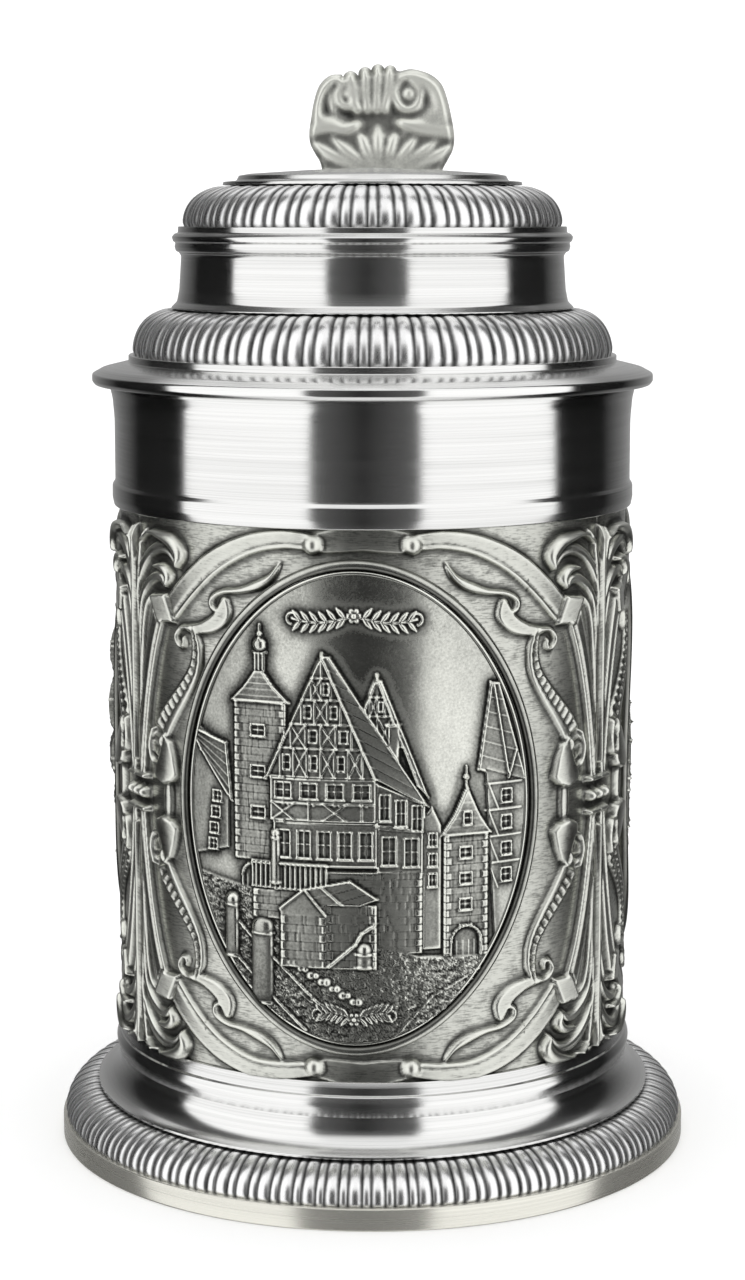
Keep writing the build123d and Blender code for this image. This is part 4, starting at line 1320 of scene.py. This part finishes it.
def make_handle(material):
    line = np.array([[52.0, 117.6], [60.0, 117.6]])
    first, way = tangent_arc(line[-1], np.array([1.0, 0.0]), np.array([84.0, 93.0]), 60)
    second, way = tangent_arc(first[-1], way, np.array([71.0, 59.0]), 60)
    third, way = tangent_arc(second[-1], way, np.array([42.4, 43.0]), 60)
    points, along = even_path(np.vstack([line, first[1:], second[1:], third[1:]]), 0.35)
    shells = [swept_bar(points, along, handle_section)]
    ball_r, ball_y, ball_z = 3.4, 65.0, 40.0

    def tail_section(angle, along):
        size = 2.2 + 0.4 * np.sin(np.clip(along / 16, 0, 1) * math.pi)
        size = size + 0.25 * np.exp(-((along - 11.5) / 0.6) ** 2)
        size = size + 0.12 * np.cos(angle * 6) * soft_step(along / 3) * soft_step((10 - along) / 2)
        # Brighter where the tail swells: a painted highlight with handling polish.
        return size, size, 0.45 + 0.5 * (size - 2.0)

    curl = smooth_path([(66.0, 53.0, 1), (69.2, 50.2, 1), (70.0, 46.0, 1), (68.6, 42.2, 1),
                        (ball_y, ball_z, 1)], 0.3)
    tail, along = even_path(curl[:, :2], 0.3)
    shells.append(swept_bar(tail, along, tail_section, 48))

    def ball_section(angle, along):
        size = np.sqrt(np.clip(ball_r ** 2 - (along - ball_r) ** 2, 0.01, None))
        return size, size, 0.75 + 0 * size * angle

    reach = np.arange(0, 2 * ball_r + 0.01, 0.2)
    ball = np.stack([ball_y + ball_r - reach, np.full(len(reach), ball_z)], axis=1)
    shells.append(swept_bar(ball, reach, ball_section, 48))
    place(join_shells("handle_look", shells), "handle", "mug", material)


def make_handle_plate(material):
    """Oval foot of the handle, with a beaded rim and petals."""
    plate_z = MIDDLE_Z - 20.9
    relief = Relief(np.arange(-8.2, 8.2, 0.2), plate_z + np.arange(-10.6, 10.6, 0.2))
    S, Z = relief.s[:, None], relief.z[None, :] - plate_z
    oval = np.hypot(S / 7.3, Z / 9.8)
    angle = np.arctan2(Z / 9.8, S / 7.3)
    petals = 0.5 + 0.5 * np.cos(angle * 12)
    relief.h = 0.75 + 0.35 * petals ** 0.6 * soft_step((0.86 - oval) / 0.1) * soft_step((oval - 0.3) / 0.2)
    relief.h += 0.4 * np.exp(-((oval - 0.92) / 0.05) ** 2)
    # Painted highlight on the petals and rim, painted shade between them, with polish and tarnish.
    wear_and_painted_light = wear_and_painted_light_of(relief, 0.5, 1.2, 0.4)
    obj = relief_object("handle_plate_look", relief, 42.5, math.pi, oval < 1.0, wear_and_painted_light)
    place(obj, "handle_plate", "mug", material)


HINGE_Y, HINGE_Z, KNUCKLE_R = 51.0, 127.0, 3.2


def side_bar(outline, x_low, x_high, centre, bevel=0.35):
    """Closed bar along X with bevelled ends, from an outline in (y, z) around a centre point."""
    outline = rounded(outline, 0.4)
    centre = np.array(centre, dtype=float)
    away = outline - centre
    small = centre + away * (1 - bevel / np.linalg.norm(away, axis=1))[:, None]
    flat = np.repeat(centre[None, :], len(outline), axis=0)
    # End faces darker than the long sides, with their bevels between.
    rings = [(x_low, flat, 0.5), (x_low, small, 0.75), (x_low + bevel, outline, 0.85),
             (x_high - bevel, outline, 0.85), (x_high, small, 0.75), (x_high, flat, 0.5)]
    vertices = np.concatenate([np.column_stack([np.full(len(ring), x), ring]) for x, ring, _ in rings])
    wear_and_painted_light = np.concatenate([np.full(len(outline), value) for _, _, value in rings])
    return vertices, grid_faces(len(rings), len(outline), False, True)[:, ::-1], wear_and_painted_light


def knuckle_span(index):
    middle = (index - 2) * 3.4
    return middle - 1.6, middle + 1.6


def knuckle_arc(start, end, count=20):
    angles = np.radians(np.linspace(start, end, count))
    return [(HINGE_Y + KNUCKLE_R * math.cos(a), HINGE_Z + KNUCKLE_R * math.sin(a), 0) for a in angles]


def pin_shell(outline):
    """Turned piece about the hinge axis from an (r, x) outline."""
    segments = 48
    theta = angles_round(segments)
    r, x = outline[:, 0], outline[:, 1]
    vertices = np.stack([np.broadcast_to(x, (segments, len(x))), HINGE_Y + np.outer(np.cos(theta), r),
                         HINGE_Z + np.outer(np.sin(theta), r)], axis=-1).reshape(-1, 3)
    return vertices, grid_faces(segments, len(outline), True, True), np.full(len(vertices), 0.8)


def make_hinge(material):
    block = [side_bar([(41.3, 112.4), (51.2, 112.4, 1.2), (53.2, 113.6, 1.2), (54.5, 116.2, 1.0),
                       (54.5, 123.4, 0.8), (41.3, 123.4)], -8.4, 8.4, (47.5, 118.0), 0.7)]
    for z in (114.2, 121.6):
        block.append(side_bar([(41.3, z - 0.6), (54.3, z - 0.6, 0.5), (54.8, z, 0.4), (54.3, z + 0.6, 0.5),
                               (41.3, z + 0.6)], -8.6, 8.6, (48.0, z), 0.5))
    for index in (0, 2, 4):
        outline = [(47.8, 122.6), (54.2, 122.6)] + knuckle_arc(0, 180)
        block.append(side_bar(outline, *knuckle_span(index), (HINGE_Y, 125.6), 0.25))
    place(join_shells("hinge_block_look", block), "hinge_block", "mug", material)

    strap = [side_bar([(38.0, 127.4), (46.7, 127.4), (46.7, 130.2, 0.5), (45.4, 131.9, 0.5), (38.0, 131.9)],
                      -6.0, 6.0, (42.5, 129.6), 0.4)]
    for index in (1, 3):
        outline = [(45.4, 128.0), (45.4, 130.2)] + knuckle_arc(90, -160) + [(47.98, 128.0)]
        strap.append(side_bar(outline, *knuckle_span(index), (50.0, 128.2), 0.25))
    place(join_shells("lid_strap_look", strap), "lid_strap", "lid", material)

    pin = rounded([(0, -8.4), (1.2, -8.4, 0.1), (1.2, 8.4, 0.1), (0, 8.4)])
    place(join_shells("hinge_pin_look", [pin_shell(pin)]), "hinge_pin", "mug", material)
    heads = []
    for side in (-1, 1):
        head = rounded([(0, side * 8.4), (2.2, side * 8.4, 0.15), (2.1, side * 9.1, 0.5),
                        (1.1, side * 9.6, 0.8), (0, side * 9.6)])
        heads.append(pin_shell(head if side > 0 else head[::-1]))
    place(join_shells("hinge_pin_heads_look", heads), "hinge_pin_heads", "mug", material)


casting = cast_pewter(
    "casting", [(0.05, 0.04), (0.35, 0.24), (0.6, 0.62), (0.9, 0.92)],
    [(0.0, 0.5), (0.5, 0.34), (1.0, 0.22)], 2e-5, tint=(1.0, 1.0, 0.96))
crest = cast_pewter(
    "crest", [(0.20, 0.04), (0.54, 0.24), (0.84, 0.80)], [(0.0, 0.5), (1.0, 0.38)], 2e-5, 0.6, tint=AGED)
make_thumblift(crest)
make_handle(casting)
make_handle_plate(casting)
make_hinge(casting)


# CAD nodes that stay visible (barrel, base plate, seat ring) are plain turned pewter.
for node_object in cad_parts.values():
    node_object.data.materials.clear()
    node_object.data.materials.append(bright)


# ---- light, floor and camera ---------------------------------------------------------------
def studio_world():
    """White for the camera; softboxes left and right, a dark room behind the camera."""
    world = bpy.data.worlds.new("studio")
    bpy.context.scene.world = world
    world.use_nodes = True
    n = Tree(world.node_tree)

    def step(value, low, high, soft):
        """One between low and high, with edges that are soft wide."""
        rise = n.math("MULTIPLY_ADD", value, 1 / soft, 0.5 - low / soft)
        fall = n.math("MULTIPLY_ADD", value, -1 / soft, 0.5 + high / soft)
        for part in (rise, fall):
            part.node.use_clamp = True
        return n.math("MULTIPLY", rise, fall)

    split = n.node("ShaderNodeSeparateXYZ")
    n.link(n.node("ShaderNodeTexCoord").outputs["Generated"], split.inputs[0])
    x, y, z = split.outputs
    degrees = 180 / math.pi
    azimuth = n.math("MULTIPLY", n.math("ARCTAN2", x, n.math("MULTIPLY", y, -1.0)), degrees)
    elevation = n.math("MULTIPLY", n.math("ARCSINE", z), degrees)
    away = n.math("ABSOLUTE", azimuth)
    # Two tall softboxes, and the edges of the room between and behind them.
    side = step(azimuth, -88.0, -25.0, 2.5)
    other = step(azimuth, 23.0, 89.0, 2.5)
    tall = step(elevation, -60.0, 66.0, 12.0)
    boxes = n.math("MULTIPLY", n.math("MULTIPLY", n.math("ADD", side, other), tall), 1.12)
    open_side = n.math("SUBTRACT", 1.0, n.math("MULTIPLY", step(away, 90.0, 138.0, 8.0), 0.94))
    ceiling = n.math("MULTIPLY", step(elevation, 37.0, 200.0, 14.0), 0.95)
    ground = n.math("MULTIPLY", step(elevation, -200.0, -52.0, 8.0), 0.82)
    overhead = n.math("MULTIPLY", n.math("MAXIMUM", ceiling, ground), open_side)
    rear = n.math("MULTIPLY", step(away, 150.0, 400.0, 52.0), 0.37)
    falloff = n.math("MULTIPLY_ADD", n.math("ABSOLUTE", n.math("ADD", azimuth, 2.0)), 0.0038, 0.012)
    gap = n.math("MULTIPLY", step(azimuth, -28.0, 26.0, 4.0), falloff)
    total = boxes
    for part in (overhead, rear, gap):
        total = n.math("MAXIMUM", total, part)
    mix = n.node("ShaderNodeMixRGB")
    n.link(n.node("ShaderNodeLightPath").outputs["Is Glossy Ray"], mix.inputs[0])
    mix.inputs[1].default_value = (1.3, 1.3, 1.3, 1.0)
    n.link(total, mix.inputs[2])
    shade = n.node("ShaderNodeBackground")
    n.link(mix.outputs[0], shade.inputs[0])
    n.link(shade.outputs[0], n.node("ShaderNodeOutputWorld").inputs[0])


def white_floor():
    mesh = bpy.data.meshes.new("floor")
    reach = 6.0
    corners = [(-reach, -reach, 0), (reach, -reach, 0), (reach, reach, 0), (-reach, reach, 0)]
    mesh.from_pydata(corners, [], [(0, 1, 2, 3)])
    floor = bpy.data.objects.new("floor", mesh)
    bpy.context.scene.collection.objects.link(floor)
    n = Nodes("floor_white")
    n.shader.inputs["Base Color"].default_value = (0.97, 0.97, 0.97, 1)
    n.shader.inputs["Roughness"].default_value = 0.9
    floor.data.materials.append(n.material)
    floor.visible_glossy = False


def photo_camera():
    """At the height, distance and downward tilt of a product shot, a little to the right."""
    azimuth, pitch = math.radians(2.1), math.radians(8.875)
    distance, height = 0.45557, 0.15508
    data = bpy.data.cameras.new("camera")
    data.lens = 77.09
    data.sensor_width = 36.0
    data.clip_start, data.clip_end = 0.01, 50.0
    camera = bpy.data.objects.new("camera", data)
    camera.location = (distance * math.sin(azimuth), -distance * math.cos(azimuth), height)
    camera.rotation_euler = (math.pi / 2 - pitch, 0.0, azimuth)
    bpy.context.scene.collection.objects.link(camera)
    bpy.context.scene.camera = camera


studio_world()
white_floor()
photo_camera()
bpy.context.scene.view_settings.view_transform = "Standard"

bpy.context.view_layer.update()
